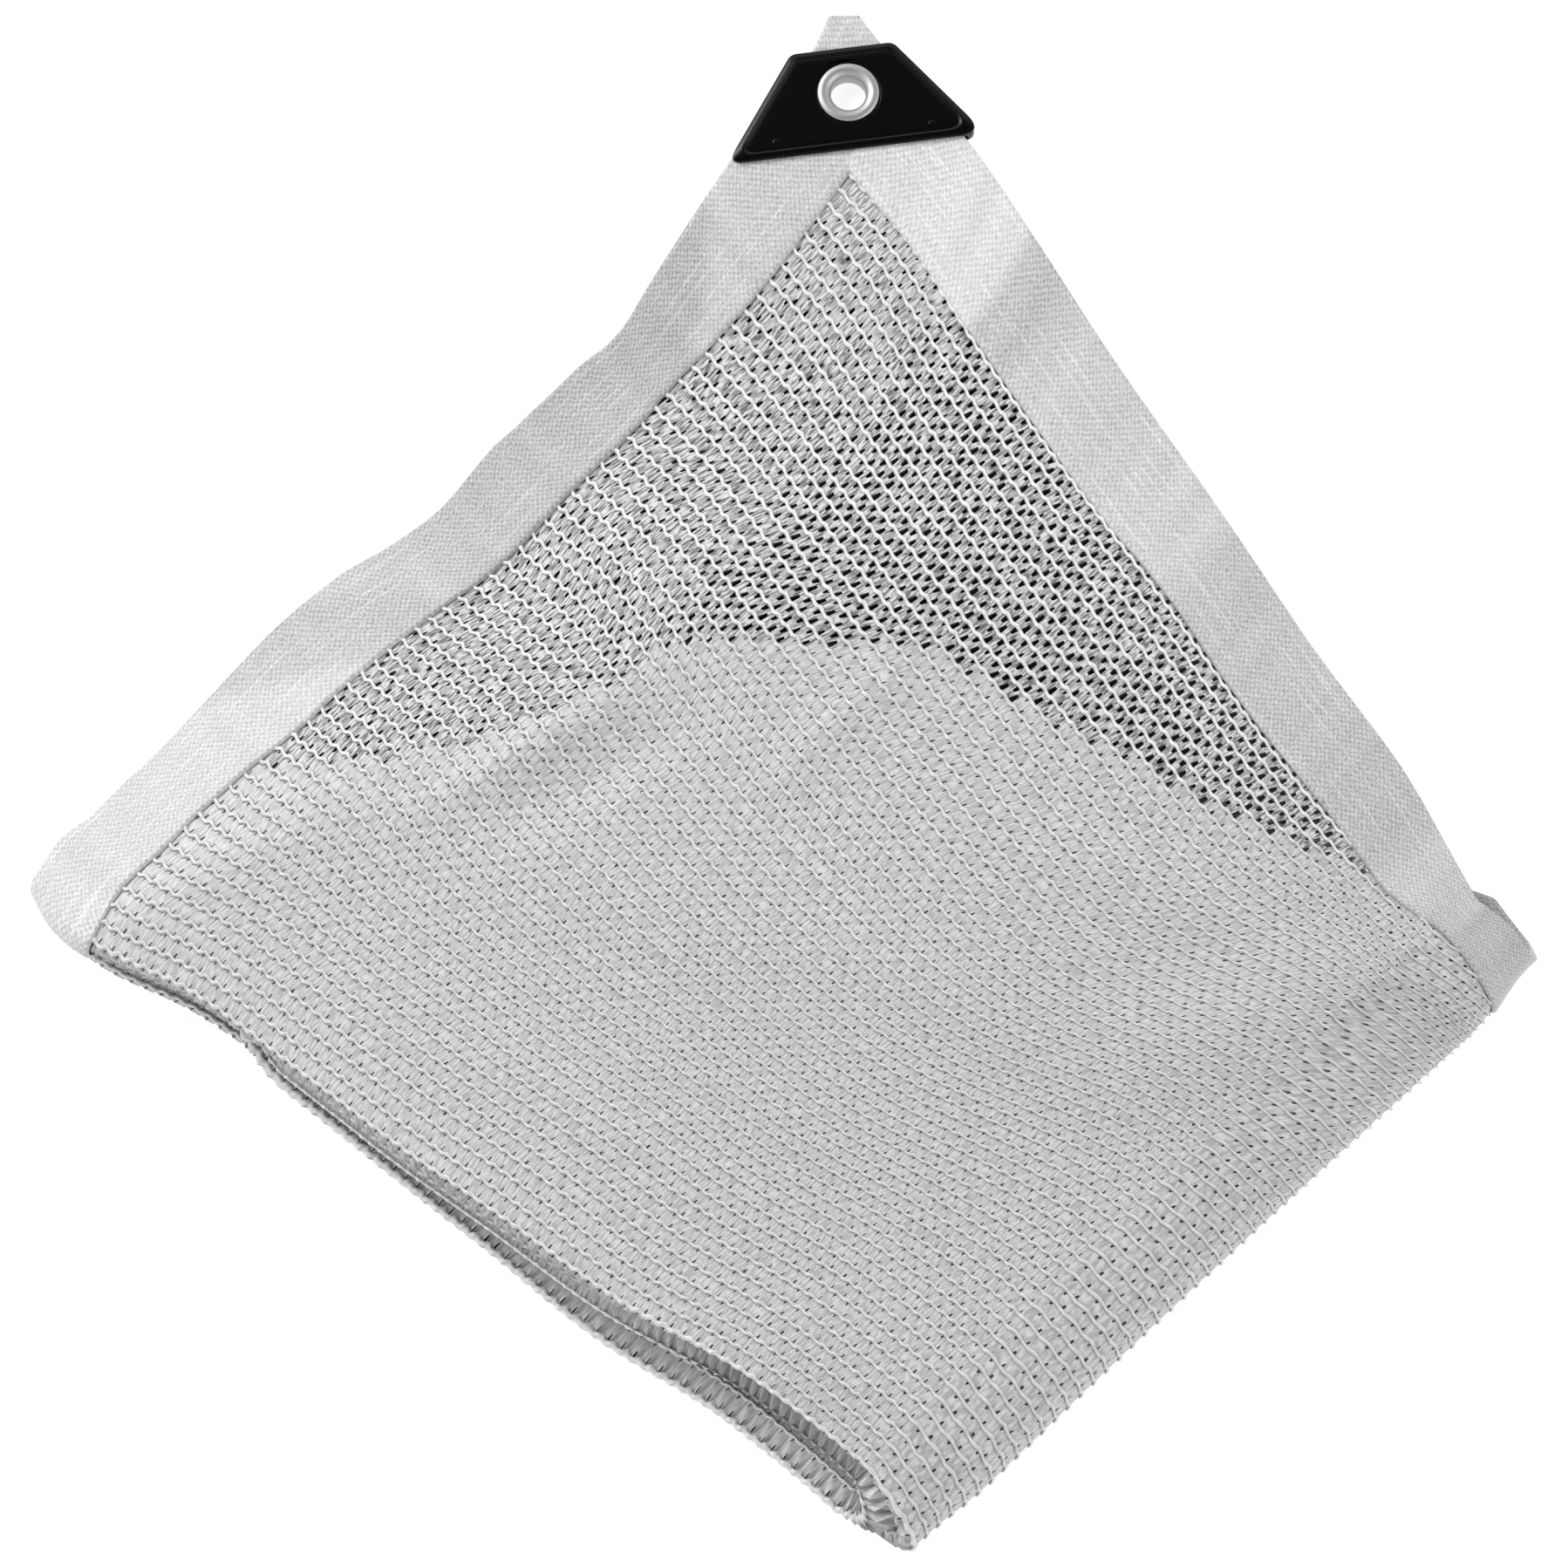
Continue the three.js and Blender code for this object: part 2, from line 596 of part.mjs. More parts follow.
function backPlate() {
  const edge = 0.5;
  let solid = slab(plateShape(), BACK_LOW + edge, BACK_HIGH);
  solid = solid.add(slab(plateShape(edge), BACK_LOW, BACK_LOW + edge + 0.1));
  solid = solid.subtract(manifoldOf(cylinder(RECESS.radius, BACK_LOW - 3, BACK_LOW + RECESS.back)));
  return geometryFrom(solid.subtract(manifoldOf(cylinder(HOLE_CLEAR, BACK_LOW - 1, BACK_HIGH + 1))));
}

function turned(profile, sides) {
  const rows = [...profile, profile[0]].map(([r, z]) => new THREE.Vector2(r, z));
  const geometry = new THREE.LatheGeometry(rows, sides);
  return geometry.rotateX(Math.PI / 2).translate(EYELET_AT.x, EYELET_AT.y, 0);
}

const FLANGE_LOW = FRONT_HIGH - RECESS.front + FIT;
const EYELET_SIDES = 40;
function eyelet() {
  return turned([
    [BARREL_OUT + 0.9, BACK_LOW + 0.2],
    [BARREL_OUT, BACK_LOW + 1.0],
    [BARREL_OUT, FLANGE_LOW],
    [FLANGE - 0.3, FLANGE_LOW],
    [FLANGE, FLANGE_LOW + 0.4],
    [FLANGE - 0.5, FLANGE_LOW + 1.0],
    [FLANGE - 1.8, FLANGE_LOW + 1.4],
    [BARREL_IN + 1.4, FLANGE_LOW + 1.1],
    [BARREL_IN + 0.2, FLANGE_LOW + 0.4],
    [BARREL_IN, FLANGE_LOW - 0.6],
    [BARREL_IN + 0.4, BACK_LOW + 1.3],
    [BARREL_IN + 0.9, BACK_LOW + 0.2],
  ], EYELET_SIDES);
}
function washer() {
  return turned([
    [BARREL_OUT + 0.75, BACK_LOW + 0.8],
    [BARREL_OUT + 1.45, BACK_LOW + 0.2],
    [FLANGE - 0.2, BACK_LOW + 0.2],
    [FLANGE, BACK_LOW + 0.5],
    [FLANGE - 0.3, BACK_LOW + 0.8],
  ], EYELET_SIDES);
}

// ---------------------------------------------------------------- the part

const passage = manifoldOf(cylinder(HOLE_CLEAR, -5, 20));
function punched(geometry, trimmedAt) {
  return geometryFrom(manifoldOf(geometry).subtract(passage).trimByPlane([0, -1, 0], -trimmedAt));
}

const finishes = {
  net: { color: 0xd9dadb, roughness: 0.7, metalness: 0 },
  tape: { color: 0xdedede, roughness: 0.5, metalness: 0 },
  plate: { color: 0x101011, roughness: 0.25, metalness: 0 },
  eyelet: { color: 0xc9cbcc, roughness: 0.3, metalness: 1 },
};
const part = new THREE.Group();
function addPiece(name, geometry, finish) {
  const mesh = new THREE.Mesh(geometry, new THREE.MeshStandardMaterial(finishes[finish]));
  mesh.name = name;
  part.add(mesh);
}
addPiece('net_cloth', punched(netGeometry(), TRIMMED_AT - EDGE_IN), 'net');
addPiece('end_binding', punched(endBinding(), TRIMMED_AT), 'tape');
addPiece('side_binding', sideBinding(), 'tape');
addPiece('corner_plate_front', frontPlate(), 'plate');
addPiece('corner_plate_back', backPlate(), 'plate');
addPiece('eyelet_ring', eyelet(), 'eyelet');
addPiece('eyelet_washer', washer(), 'eyelet');

// The origin is under the middle of the packet, on the floor.
const box = new THREE.Box3().setFromObject(part);
const centre = box.getCenter(new THREE.Vector3());
part.position.set(-centre.x, -centre.y, -box.min.z);

export default part;
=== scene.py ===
import math

import bmesh
import bpy
import numpy as np
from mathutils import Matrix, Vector


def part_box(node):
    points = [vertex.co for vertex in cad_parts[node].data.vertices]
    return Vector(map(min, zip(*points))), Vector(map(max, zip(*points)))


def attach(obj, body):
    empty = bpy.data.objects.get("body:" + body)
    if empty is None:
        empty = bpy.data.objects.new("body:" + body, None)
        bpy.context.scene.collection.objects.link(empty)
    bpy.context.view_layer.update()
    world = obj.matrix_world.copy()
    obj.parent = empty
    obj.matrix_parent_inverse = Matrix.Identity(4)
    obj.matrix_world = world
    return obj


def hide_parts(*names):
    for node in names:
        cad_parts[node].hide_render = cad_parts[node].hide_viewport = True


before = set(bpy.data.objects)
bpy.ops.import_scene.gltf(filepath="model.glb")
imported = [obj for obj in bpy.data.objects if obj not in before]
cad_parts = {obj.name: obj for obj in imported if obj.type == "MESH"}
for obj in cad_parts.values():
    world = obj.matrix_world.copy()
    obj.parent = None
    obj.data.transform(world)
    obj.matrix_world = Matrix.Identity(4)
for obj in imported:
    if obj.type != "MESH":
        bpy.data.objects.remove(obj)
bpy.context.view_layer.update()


# ------------------------ the cloth as it is folded
# A knitted shade cloth, pleated five deep across its width and folded once along its length, with its
# top layer fanned out past the others to a bound corner. These are the lines it lies to and the steps
# of its pleats, in millimetres, x to the right and y away.

corner_tip, left_corner = (20.5, 283.5), (-256.5, -50.5)
fold_near, fold_far = (26.5, -257.5), (235, -65)  # the round fold's two ends
pack_corner = (40, 31)  # the second layer's far corner
end_edge = [left_corner, (-245, -32), (-221, -11), (-197, 17), (-175, 42), (-150, 63.5), (-119.5, 85.5),
            (-101, 113), (-76, 136), (-60, 149), (-46, 172), (-17, 219), (11, 259), corner_tip]
side_edge = [corner_tip, (34, 263), (65, 226), (90, 187), (114, 147), (151, 85.5), (186, 22),
             (212, -21), (223, -42), fold_far]
left_fold = [left_corner, (-248, -66), (-234.5, -79), (-199, -97), (-156, -130), (-127, -153),
             (-96, -175), (-57, -202), (-14, -225), (16, -248), fold_near]
pack_end = [left_corner, (-215, -33), (-177, -17), (-122, -8), (-82, 8), (-31, 36), pack_corner]
pack_side = [pack_corner, (73, 12), (98, -1), (128, -19), (152, -32), (195, -52), (208, -90)]
under_side = [(42, 35), (76, 16), (100, 4), (154, -27), (197, -45), (226, -49.5), (244.5, -56)]
pleats = [  # how far each layer's edges step in (-) or out (+), and its loose end lies in
    dict(left=-2.6, right=0, end_near=0, end_far=0),
    dict(left=-2.6, right=-2, end_near=0, end_far=0),
    dict(left=-2.5, right=0, end_near=50, end_far=14),
    dict(left=-2.5, right=-4, end_near=54, end_far=18),
    dict(left=-12, right=-4, end_near=58, end_far=16),
]
layers_deep = len(pleats)
net_thick, tape_width, tape_ply = 1.2, 36, 0.9
loose_fit = 0.4  # slack between the net and a binding's ply
pitch_ends, core_ends = (3.1, 4.6), (1.7, 2.6)  # layer to layer, and inside the long fold: end and fold
fold_reach = 1.45  # how far the round fold bulges out, against its half height
fold_bow = 2  # and how far its middle falls back from a straight line
height_lost, bulge_lost = (0.24, 0.24), (0.07, 0.19)  # what the round fold loses where its ends are pinched
pinched_over = 30  # from each end of the fold
under_spread, under_end = 12, 26  # how far the lower half shows past the upper, and its loose end lies in
level_past = (11, 8)  # the two top layers stay level this far past the layers under them
top_reach = ([0, 0.35, 1], [48, 115, 130])  # then the first comes down over this, from left fold to side
second_reach = 42  # and the second over this
on_ground, under_clamp, at_left_fold = 2.2, 4, 5  # heights they come down to, the last one added
clamp_lifts, lift_fades = 104, 60  # from the corner's tip, and then over this
binding_room = 2.8  # more height where the binding turns round the first pleat
swells = [  # x, y, heading in degrees, half length, half width, height
    (128, -62, -28, 95, 20, 2.6), (60, -95, -32, 120, 22, 1.8),
    (-60, -62, -24, 110, 24, 2.0), (-40, -150, -38, 100, 20, 1.6),
    # the creases and soft folds that the hand has left in the top layer
    (-84, -8, 32, 68, 11, 3.2), (-63, -19, 30, 62, 14, -2.3), (20, 0, 45, 50, 11, 1.6),
    (164, -106, 17, 88, 32, 5.0), (49, -96, -33.5, 85, 13, 1.0), (-37, -155, -37.5, 95, 14, 1.0),
    (-140, -104, -32.4, 65, 12, 1.0), (20, -150, -35, 80, 12, 0.9), (-97, 55, 43, 48, 8, -3.4),
    (-56, 71, 61, 38, 9, 2.0),
]


def ease(t):
    t = np.clip(t, 0, 1)
    return t * t * (3 - 2 * t)


def mix(a, b, t):
    return a + (b - a) * t


def unit(v):
    return v / np.linalg.norm(v, axis=-1, keepdims=True)


def between(table, i, j):
    """What a table says between its rows and columns."""
    i0, j0 = i.astype(int), j.astype(int)
    fi, fj = i - i0, j - j0
    if table.ndim > 2:
        fi, fj = fi[..., None], fj[..., None]
    return mix(mix(table[i0, j0], table[i0, j0 + 1], fj),
               mix(table[i0 + 1, j0], table[i0 + 1, j0 + 1], fj), fi)


class Line:
    """A smooth line through plan points, read by its share of length."""

    def __init__(self, rows, each=24):
        p = np.array(rows, float)
        p = np.vstack([2 * p[0] - p[1], p, 2 * p[-1] - p[-2]])
        d = np.sqrt(np.linalg.norm(np.diff(p, axis=0), axis=1))
        t = np.linspace(0, 1, each, endpoint=False)[:, None]
        out = []
        for i in range(1, len(p) - 2):
            a, b, c = d[i - 1], d[i], d[i + 1]
            m1 = ((p[i] - p[i - 1]) / a - (p[i + 1] - p[i - 1]) / (a + b) + (p[i + 1] - p[i]) / b) * b
            m2 = ((p[i + 1] - p[i]) / b - (p[i + 2] - p[i]) / (b + c) + (p[i + 2] - p[i + 1]) / c) * b
            out.append(p[i] + m1 * t + (3 * (p[i + 1] - p[i]) - 2 * m1 - m2) * t ** 2
                       + (2 * (p[i] - p[i + 1]) + m1 + m2) * t ** 3)
        self.points = np.vstack(out + [p[-2][None]])
        run = np.linalg.norm(np.diff(self.points, axis=0), axis=1)
        self.length = run.sum()
        self.share = np.concatenate([[0], np.cumsum(run)]) / self.length

    def __call__(self, u):
        u = np.clip(u, 0, 1)
        return np.stack([np.interp(u, self.share, self.points[:, k]) for k in (0, 1)], axis=-1)


end_line, side_line, left_line, pack_end_line, pack_side_line, under_line = (
    Line(rows) for rows in (end_edge, side_edge, left_fold, pack_end, pack_side, under_side))
near, far = np.array(fold_near, float), np.array(fold_far, float)
fold_length = np.linalg.norm(far - near)
fold_along = (far - near) / fold_length
fold_out = np.array([fold_along[1], -fold_along[0]])


def under_left(along):
    """The lower half's left fold, which comes out past the upper half's towards the round fold."""
    step = left_line(along + 0.002) - left_line(along - 0.002)
    out = unit(np.stack([step[..., 1], -step[..., 0]], -1))
    return left_line(along) + out * (under_spread * ease((along - 0.4) / 0.6) - 1.5)[..., None]


def lie(layer, lower, share, along):
    """Plan points of a layer, share across from the left fold and along from the loose end."""
    top, under = layer == 0 and not lower, layer == 0 and lower
    left = under_left if lower else left_line
    side = side_line if top else under_line if under else pack_side_line
    shift = under_line(0.0) - pack_end_line(1.0) if under else np.zeros(2)
    end = (end_line if top else pack_end_line)(share) + shift * share[..., None]
    one, zero = np.ones_like(share), np.zeros_like(share)
    s, a = share[..., None], along[..., None]
    fold = left(one) * (1 - s) + side(one) * s - fold_out * fold_bow * np.sin(np.pi * s)
    sides = left(along) * (1 - s) + side(along) * s
    flat = (left(zero) * (1 - s) + side(zero) * s) * (1 - a) + (left(one) * (1 - s) + side(one) * s) * a
    across = unit(side(along) - left(along))
    step = mix(-pleats[layer]["left"], pleats[layer]["right"], share)
    return sides + end * (1 - a) + fold * a - flat + across * step[..., None]


def inner_start(share):
    inset = mix(pleats[2]["end_near"], pleats[2]["end_far"], share)
    return inset / mix(left_line.length, pack_side_line.length, share)


# the outline of the third layer, over whose edge the two top layers hang
steps = np.linspace(0, 1, 13)
inner_outline = np.vstack([
    lie(2, False, steps, inner_start(steps)),
    lie(2, False, np.ones(12), mix(inner_start(1.0), 1, steps[1:])),
])


def outside(at):
    """How far plan points lie outside the inner layers, negative inside them."""
    run = np.diff(inner_outline, axis=0)
    off = at[..., None, :] - inner_outline[:-1]
    t = np.clip((off * run).sum(-1) / (run * run).sum(-1), 0, 1)
    gap = np.linalg.norm(off - run * t[..., None], axis=-1)
    side = np.sign(run[:, 0] * off[..., 1] - run[:, 1] * off[..., 0])
    best = gap.argmin(-1)[..., None]
    return (np.take_along_axis(gap, best, -1) * np.take_along_axis(side, best, -1))[..., 0]


def swell(at):
    high = np.zeros(at.shape[:-1])
    for x, y, heading, long, wide, height in swells:
        turn = math.radians(heading)
        dx, dy = at[..., 0] - x, at[..., 1] - y
        along = (dx * math.cos(turn) + dy * math.sin(turn)) / long
        aside = (-dx * math.sin(turn) + dy * math.cos(turn)) / wide
        high += height * ease(1 - abs(along)) * ease(1 - abs(aside))
    return high


def pinch(lost, along, at):
    """What the round fold keeps of its height or bulge near its two ends."""
    run = (at - near) @ fold_along
    ends = lost[0] * ease(1 - run / pinched_over) + lost[1] * ease(1 - (fold_length - run) / pinched_over)
    return 1 - ends * ease((along - 0.85) / 0.15)


def middle(along):
    """Height of the plane about which the packet is folded in two."""
    return net_thick / 2 + mix(*core_ends, along) + (layers_deep - 1) * mix(*pitch_ends, along)


def from_middle(layer, along):
    return mix(*core_ends, along) + (layers_deep - 1 - layer) * mix(*pitch_ends, along)


def draped(layer, share, along, at):
    """Height of the two top layers, which hang past the others down to the ground."""
    level = middle(along) + from_middle(layer, along) * pinch(height_lost, along, at)
    past = outside(at) - level_past[layer]
    if layer == 1:
        return mix(on_ground, level, 1 - ease(past / second_reach))
    reach = np.interp(share, *top_reach)
    room = binding_room * ease(1 - along / 0.3)
    from_tip = np.linalg.norm(at - corner_tip, axis=-1)
    rest = mix(under_clamp, on_ground, ease((from_tip - clamp_lifts) / lift_fades))
    rest = rest + mix(at_left_fold, 0, np.clip(share / 0.2, 0, 1))
    return mix(rest, level + room + swell(at), 1 - ease(past / reach))


def place(layer, share, width, half, band, rest, turn):
    """Points of one layer on one station of the cloth."""
    side = side_line if layer == 0 and half != "under" else pack_side_line
    long = mix(left_line.length, side.length, share)
    inset = mix(pleats[layer]["end_near"], pleats[layer]["end_far"], share) / long
    along = np.ones_like(share)
    if half == "upper":
        along = mix(inset + band / long, 1, rest)
    if half == "under":
        along = mix(1, inset + under_end / long, rest)
    part = {"upper": 0, "turn": turn / math.pi, "under": 1}[half]
    at = lie(layer, False, share, along) * (1 - part) + lie(layer, True, share, along) * part
    tall = from_middle(layer, along) * pinch(height_lost, along, at)
    if half == "upper":
        return np.column_stack([at, draped(layer, share, along, at) if layer < 2 else middle(along) + tall])
    wide = from_middle(layer, along) * fold_reach * pinch(bulge_lost, along, at)
    # the bottom layer rises where its binding lies under it
    lift = (tape_ply + loose_fit) * (1 - ease(((1 - share) * width - tape_width) / tape_width))
    high = middle(along) + tall * math.cos(turn) + lift * ease(part)
    return np.column_stack([at + fold_out * (wide * math.sin(turn))[:, None], high])


# Stations along the cloth and nodes across it, dense enough for a smooth surface. A course is one row
# of the knit's stitches, counted from the end binding.
bands = np.linspace(0, tape_width, 7)
band_step = bands[1]
course_long = 5.7
courses_up, courses_turn, courses_under = 69, 10, 60  # to the round fold, round it and back under
steps_up, steps_turn, steps_under = 52, 24, 36
# Each station: half, mm across the end binding, share of the rest, turn round the fold, and course.
stations = [("upper", mm, 0.0, 0.0, (mm - tape_width) / course_long) for mm in bands]
stations += [("upper", tape_width, i / steps_up, 0.0, courses_up * i / steps_up)
             for i in range(1, steps_up + 1)]
stations += [("turn", 0, 0, math.pi * i / steps_turn, courses_up + courses_turn * i / steps_turn)
             for i in range(1, steps_turn)]
stations += [("under", 0, i / steps_under, math.pi,
              courses_up + courses_turn + courses_under * i / steps_under) for i in range(steps_under + 1)]
top_shares = np.linspace(1, 0, 53)[1:]
inner_shares = np.linspace(0, 1, 29)
loop_turns = np.radians(np.linspace(75, -75, 11))  # round each pleat's fold
loop_bulge, first_loop_fuller = 3.2, 1.15


def station_points(half, band, rest, turn):
    """The nodes of one section across the pleats, from the side edge of the top layer inwards."""
    width = np.linalg.norm(left_line(1.0) - side_line(1.0))
    if half == "upper":
        shares = np.linspace(0, 1, 9)
        section = lie(0, False, shares, np.full(9, mix(band / side_line.length, 1, rest)))
        width = np.linalg.norm(np.diff(section, axis=0), axis=1).sum()
    layers = []
    for layer in range(layers_deep):
        share = inner_shares if layer % 2 else inner_shares[::-1]
        if layer == 0:
            share = np.concatenate([1 - bands / width, (1 - tape_width / width) * top_shares])
        layers.append(place(layer, share, width, half, band, rest, turn))
    out = [layers[0]]
    for layer in range(1, layers_deep):
        start, stop = layers[layer - 1][-1], layers[layer][0]
        ahead = start - layers[layer - 1][-3]
        back = (start - stop) / 2
        ahead = ahead - back * (ahead @ back) / (back @ back)
        ahead /= np.linalg.norm(ahead)
        bulge = min(np.linalg.norm(back), loop_bulge) * (first_loop_fuller if layer == 1 else 1)
        out.append((start + stop) / 2 + np.outer(np.sin(loop_turns), back)
                   + np.outer(np.cos(loop_turns), ahead) * bulge)
        out.append(layers[layer])
    return np.vstack(out)


grid = np.array([station_points(*s[:4]) for s in stations])
station_course = np.array([s[4] for s in stations])

# The inner pleat on the left is tucked in at its two ends, under the top layer.
pleat_loop = (134, 158)  # its nodes
tuck, tuck_heading = 9, (0.59, 0.806)
nodes = np.arange(grid.shape[1])
at_ends = 2 - ease(station_course / 7) - ease((station_course[-1] - station_course) / 8)
on_loop = ease((nodes - (pleat_loop[0] - 14)) / 14) * (1 - ease((nodes - pleat_loop[1]) / 14))
grid[..., :2] += (tuck * at_ends[:, None] * on_loop)[..., None] * tuck_heading
along_rows = np.gradient(grid, axis=0)
across_rows = np.gradient(grid, axis=1)
normals = unit(np.cross(across_rows, along_rows))

# Where each node lies across the knit: 1 at the side binding's inner edge, 0 at the first pleat, and
# on below 0 through the other layers, in widths of the top layer.
top_nodes = len(bands) + len(top_shares)
middle_row = grid[len(bands) + steps_up // 2]
arc = np.concatenate([[0], np.cumsum(np.linalg.norm(np.diff(middle_row, axis=0), axis=1))])
top_span = arc[top_nodes - 1] - arc[len(bands) - 1]
node_place = 1 - (arc - arc[len(bands) - 1]) / top_span


def surface(station, node, high=0.0):
    """Points between grid lines, in mm, moved out along the normal."""
    i = np.clip(station, 0, len(grid) - 1.001)
    j = np.clip(node, 0, grid.shape[1] - 1.001)
    return between(grid, i, j) + unit(between(normals, i, j)) * np.asarray(high)[..., None]


# The corner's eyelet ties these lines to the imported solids.
MM = 0.001
eyelet_at = np.array([23.7, 241.4])
ring_low, ring_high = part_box("eyelet_ring")
origin = np.array([*((np.array(ring_low) + np.array(ring_high))[:2] / 2 / MM - eyelet_at), 0])


def in_scene(x, y, z=0.0):
    """A point given in mm, where it lies in the scene."""
    return Vector(((x + origin[0]) * MM, (y + origin[1]) * MM, z * MM))


def quads(*corners):
    return np.stack(corners, -1).reshape(-1, 4)


def new_object(name, data):
    made = bpy.data.objects.new(name, data)
    bpy.context.scene.collection.objects.link(made)
    return made


def make_piece(name, points, faces, looks, which=None, uv=None, sharp=None, replaced=()):
    """A mesh object from points in mm and arrays of faces, each array one count of corners, with its
    materials and which of them each face has."""
    mesh = bpy.data.meshes.new(name)
    corners = np.concatenate([f.ravel() for f in faces])
    counts = np.concatenate([np.full(len(f), f.shape[1]) for f in faces])
    mesh.vertices.add(len(points))
    mesh.vertices.foreach_set("co", ((points + origin) * MM).astype(np.float32).ravel())
    mesh.loops.add(len(corners))
    mesh.loops.foreach_set("vertex_index", corners.astype(np.int32))
    mesh.polygons.add(len(counts))
    mesh.polygons.foreach_set("loop_start", np.concatenate([[0], np.cumsum(counts)[:-1]]).astype(np.int32))
    mesh.update(calc_edges=True)
    if uv is not None:
        layer = mesh.uv_layers.new(name="knit")
        layer.data.foreach_set("uv", uv[corners].astype(np.float32).ravel())
    mesh.shade_smooth()
    if sharp:
        mesh.set_sharp_from_angle(angle=math.radians(sharp))
    for look in looks:
        mesh.materials.append(look)
    if which is not None:
        mesh.polygons.foreach_set("material_index", which.astype(np.int32))
    piece = new_object(name, mesh)
    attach(piece, "root")
    if replaced:
        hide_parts(*replaced)
    return piece


# ------------------------ knitted net
# Warp-knitted from polyethylene: chains of round thread run along the cloth, and flat slit tapes
# are laid between them on a slant, which leaves two open slots in each stitch.

wales = 56  # chains across the top layer, about six millimetres apart
rng = np.random.default_rng(7)

# How far the chains stray sideways from the folded sheet's own lines, in widths of the top layer:
# the cloth was pulled askew as it was folded, most of all over the lower fold.
stray_places = [-0.1, 0, 0.1, 0.2, 0.3, 0.45, 0.6, 0.75, 0.9, 1.0, 1.1]
stray_courses = [0, 12, 25, 38, 50, 58, 63, 69, 80]
strays = [
    [0, 0, 0, 0.01, 0.005, -0.02, -0.02, -0.02, -0.02, -0.02, -0.02],
    [0, 0, -0.01, -0.03, -0.035, -0.045, -0.05, -0.05, -0.033, -0.02, -0.02],
    [0, 0, 0.005, -0.015, -0.04, -0.045, -0.05, -0.05, -0.04, -0.022, -0.02],
    [0, 0, 0.015, 0, -0.025, -0.055, -0.05, -0.045, -0.035, -0.014, -0.01],
    [0, -0.01, 0.015, 0.015, 0, -0.02, -0.04, -0.03, -0.01, -0.002, 0],
    [0, -0.02, 0.01, 0.02, 0.01, 0.015, 0, -0.02, -0.005, 0.008, 0.008],
    [0, -0.02, 0.015, 0.03, 0.035, 0.065, 0.05, 0.035, 0.03, 0.016, 0.016],
    [0, -0.01, 0.02, 0.05, 0.08, 0.13, 0.125, 0.145, 0.12, 0.055, 0.05],
    [0, -0.01, 0.02, 0.05, 0.08, 0.13, 0.125, 0.145, 0.115, 0.045, 0.04],
]
# filled in between these to a hundredth of the width and one course, and smoothed
fine_places, fine_courses = np.linspace(-0.1, 1.1, 121), np.arange(0, 81)
fine = np.array([np.interp(fine_places, stray_places, row) for row in strays])
fine = np.array([np.interp(fine_courses, stray_courses, column) for column in fine.T]).T
for window, axis in ((7, 0), (9, 1)):
    padded = np.pad(fine, [(window, window) if a == axis else (0, 0) for a in (0, 1)], mode="edge")
    fine = sum(np.roll(padded, k, axis) for k in range(-window, window + 1)) / (2 * window + 1)
    fine = fine[window:-window] if axis == 0 else fine[:, window:-window]


def drift(place, course):
    return between(fine, np.clip(course, 0, 79.99), np.clip((place + 0.1) * 100, 0, 119.99))


def stitch_rate(place):
    """Stitches to a course: they are longer towards the side edge."""
    return 0.94 - 0.08 * ease((place - 0.5) / 0.4)


def droop(place):
    """How far the rows of stitches hang down towards the side edge, in stitches."""
    beyond = np.maximum(place - 0.6, 0)
    return 0.14 * wales * beyond * ease(beyond / 0.25)


def stitches(place, course):
    return course * stitch_rate(place) - droop(place)


def course_at(place, stitch):
    return (stitch + droop(place)) / stitch_rate(place)


def swing(place, stitch):
    """Each stitch throws its chain a little to one side and back, most near the bound corner."""
    loose = 0.065 + 0.03 * (1 - ease((stitch - 8) / 14)) * (1 - ease((place - 0.6) / 0.2))
    turn = 2 * np.pi * stitch
    return loose * (np.sin(turn) + 0.2 * np.sin(2 * turn))


def on_cloth(wale, course, high=0.0):
    """Points of the net from a count of chains and a count of courses. The two pleats that show along
    the low edge stand fuller towards the round fold."""
    place = wale / wales
    first_pleat, inner_pleat = ease(-place / 0.05), ease((-place - 0.9) / 0.3)
    fuller, fullest = ease((course - 22) / 30), ease((course - 45) / 15)
    high = high + first_pleat * (0.4 + 1.2 * fuller) + inner_pleat * (1.3 * fuller + 0.8 * fullest)
    node = np.interp(-(place + drift(place, course)), -node_place, np.arange(len(node_place)))
    station = np.interp(course, station_course, np.arange(len(station_course)))
    return surface(station, node, high)


def knit_point(wale, stitch, high=0.0):
    place = wale / wales
    return on_cloth(wale + swing(place, stitch), course_at(place, stitch), high)


# The pleat that lies against the top layer ends along a slanting line across the packet, given here in
# chains and courses. Beyond it the net lies over open space, and its slots look deep.
pleat_line = [(12, 0), (14.6, 4.2), (16.7, 6.7), (20, 9.4), (24.2, 11.7), (28.3, 12.9), (31.7, 13.8),
              (34.6, 16.3), (36.7, 19.2), (39.2, 22.5), (42.1, 25.4), (44.2, 29.2), (45, 34.2), (46.7, 39.6),
              (48.3, 44.6), (50.8, 52), (53.3, 57.5), (55.4, 62), (57, 66), (58, 80)]


def pleat_edge(course):
    return np.interp(course, [c for w, c in pleat_line], [w for w, c in pleat_line])


def outside_pleat(wale, course):
    return ease((wale - pleat_edge(course)) / 0.6 + 0.5)


open_line, open_towards, opens_over = (55, 148), (0.767, -0.642), 34  # mm


def open_below(at):
    """How open the loose net stands over the ground: most beyond a slanting line down its middle."""
    return ease(((at[..., :2] - open_line) * open_towards).sum(-1) / opens_over + 0.5)


def from_eyelet(points):
    return np.linalg.norm(points[..., :2] - eyelet_at, axis=-1)


cells_clear, chains_clear = 13, 10  # of the eyelet's middle, under the clamp
open_until = courses_up - 7  # then the loose net lies on the round fold

corner_from, corner_over = 118, 70  # mm up, where the slots draw in again towards the corner

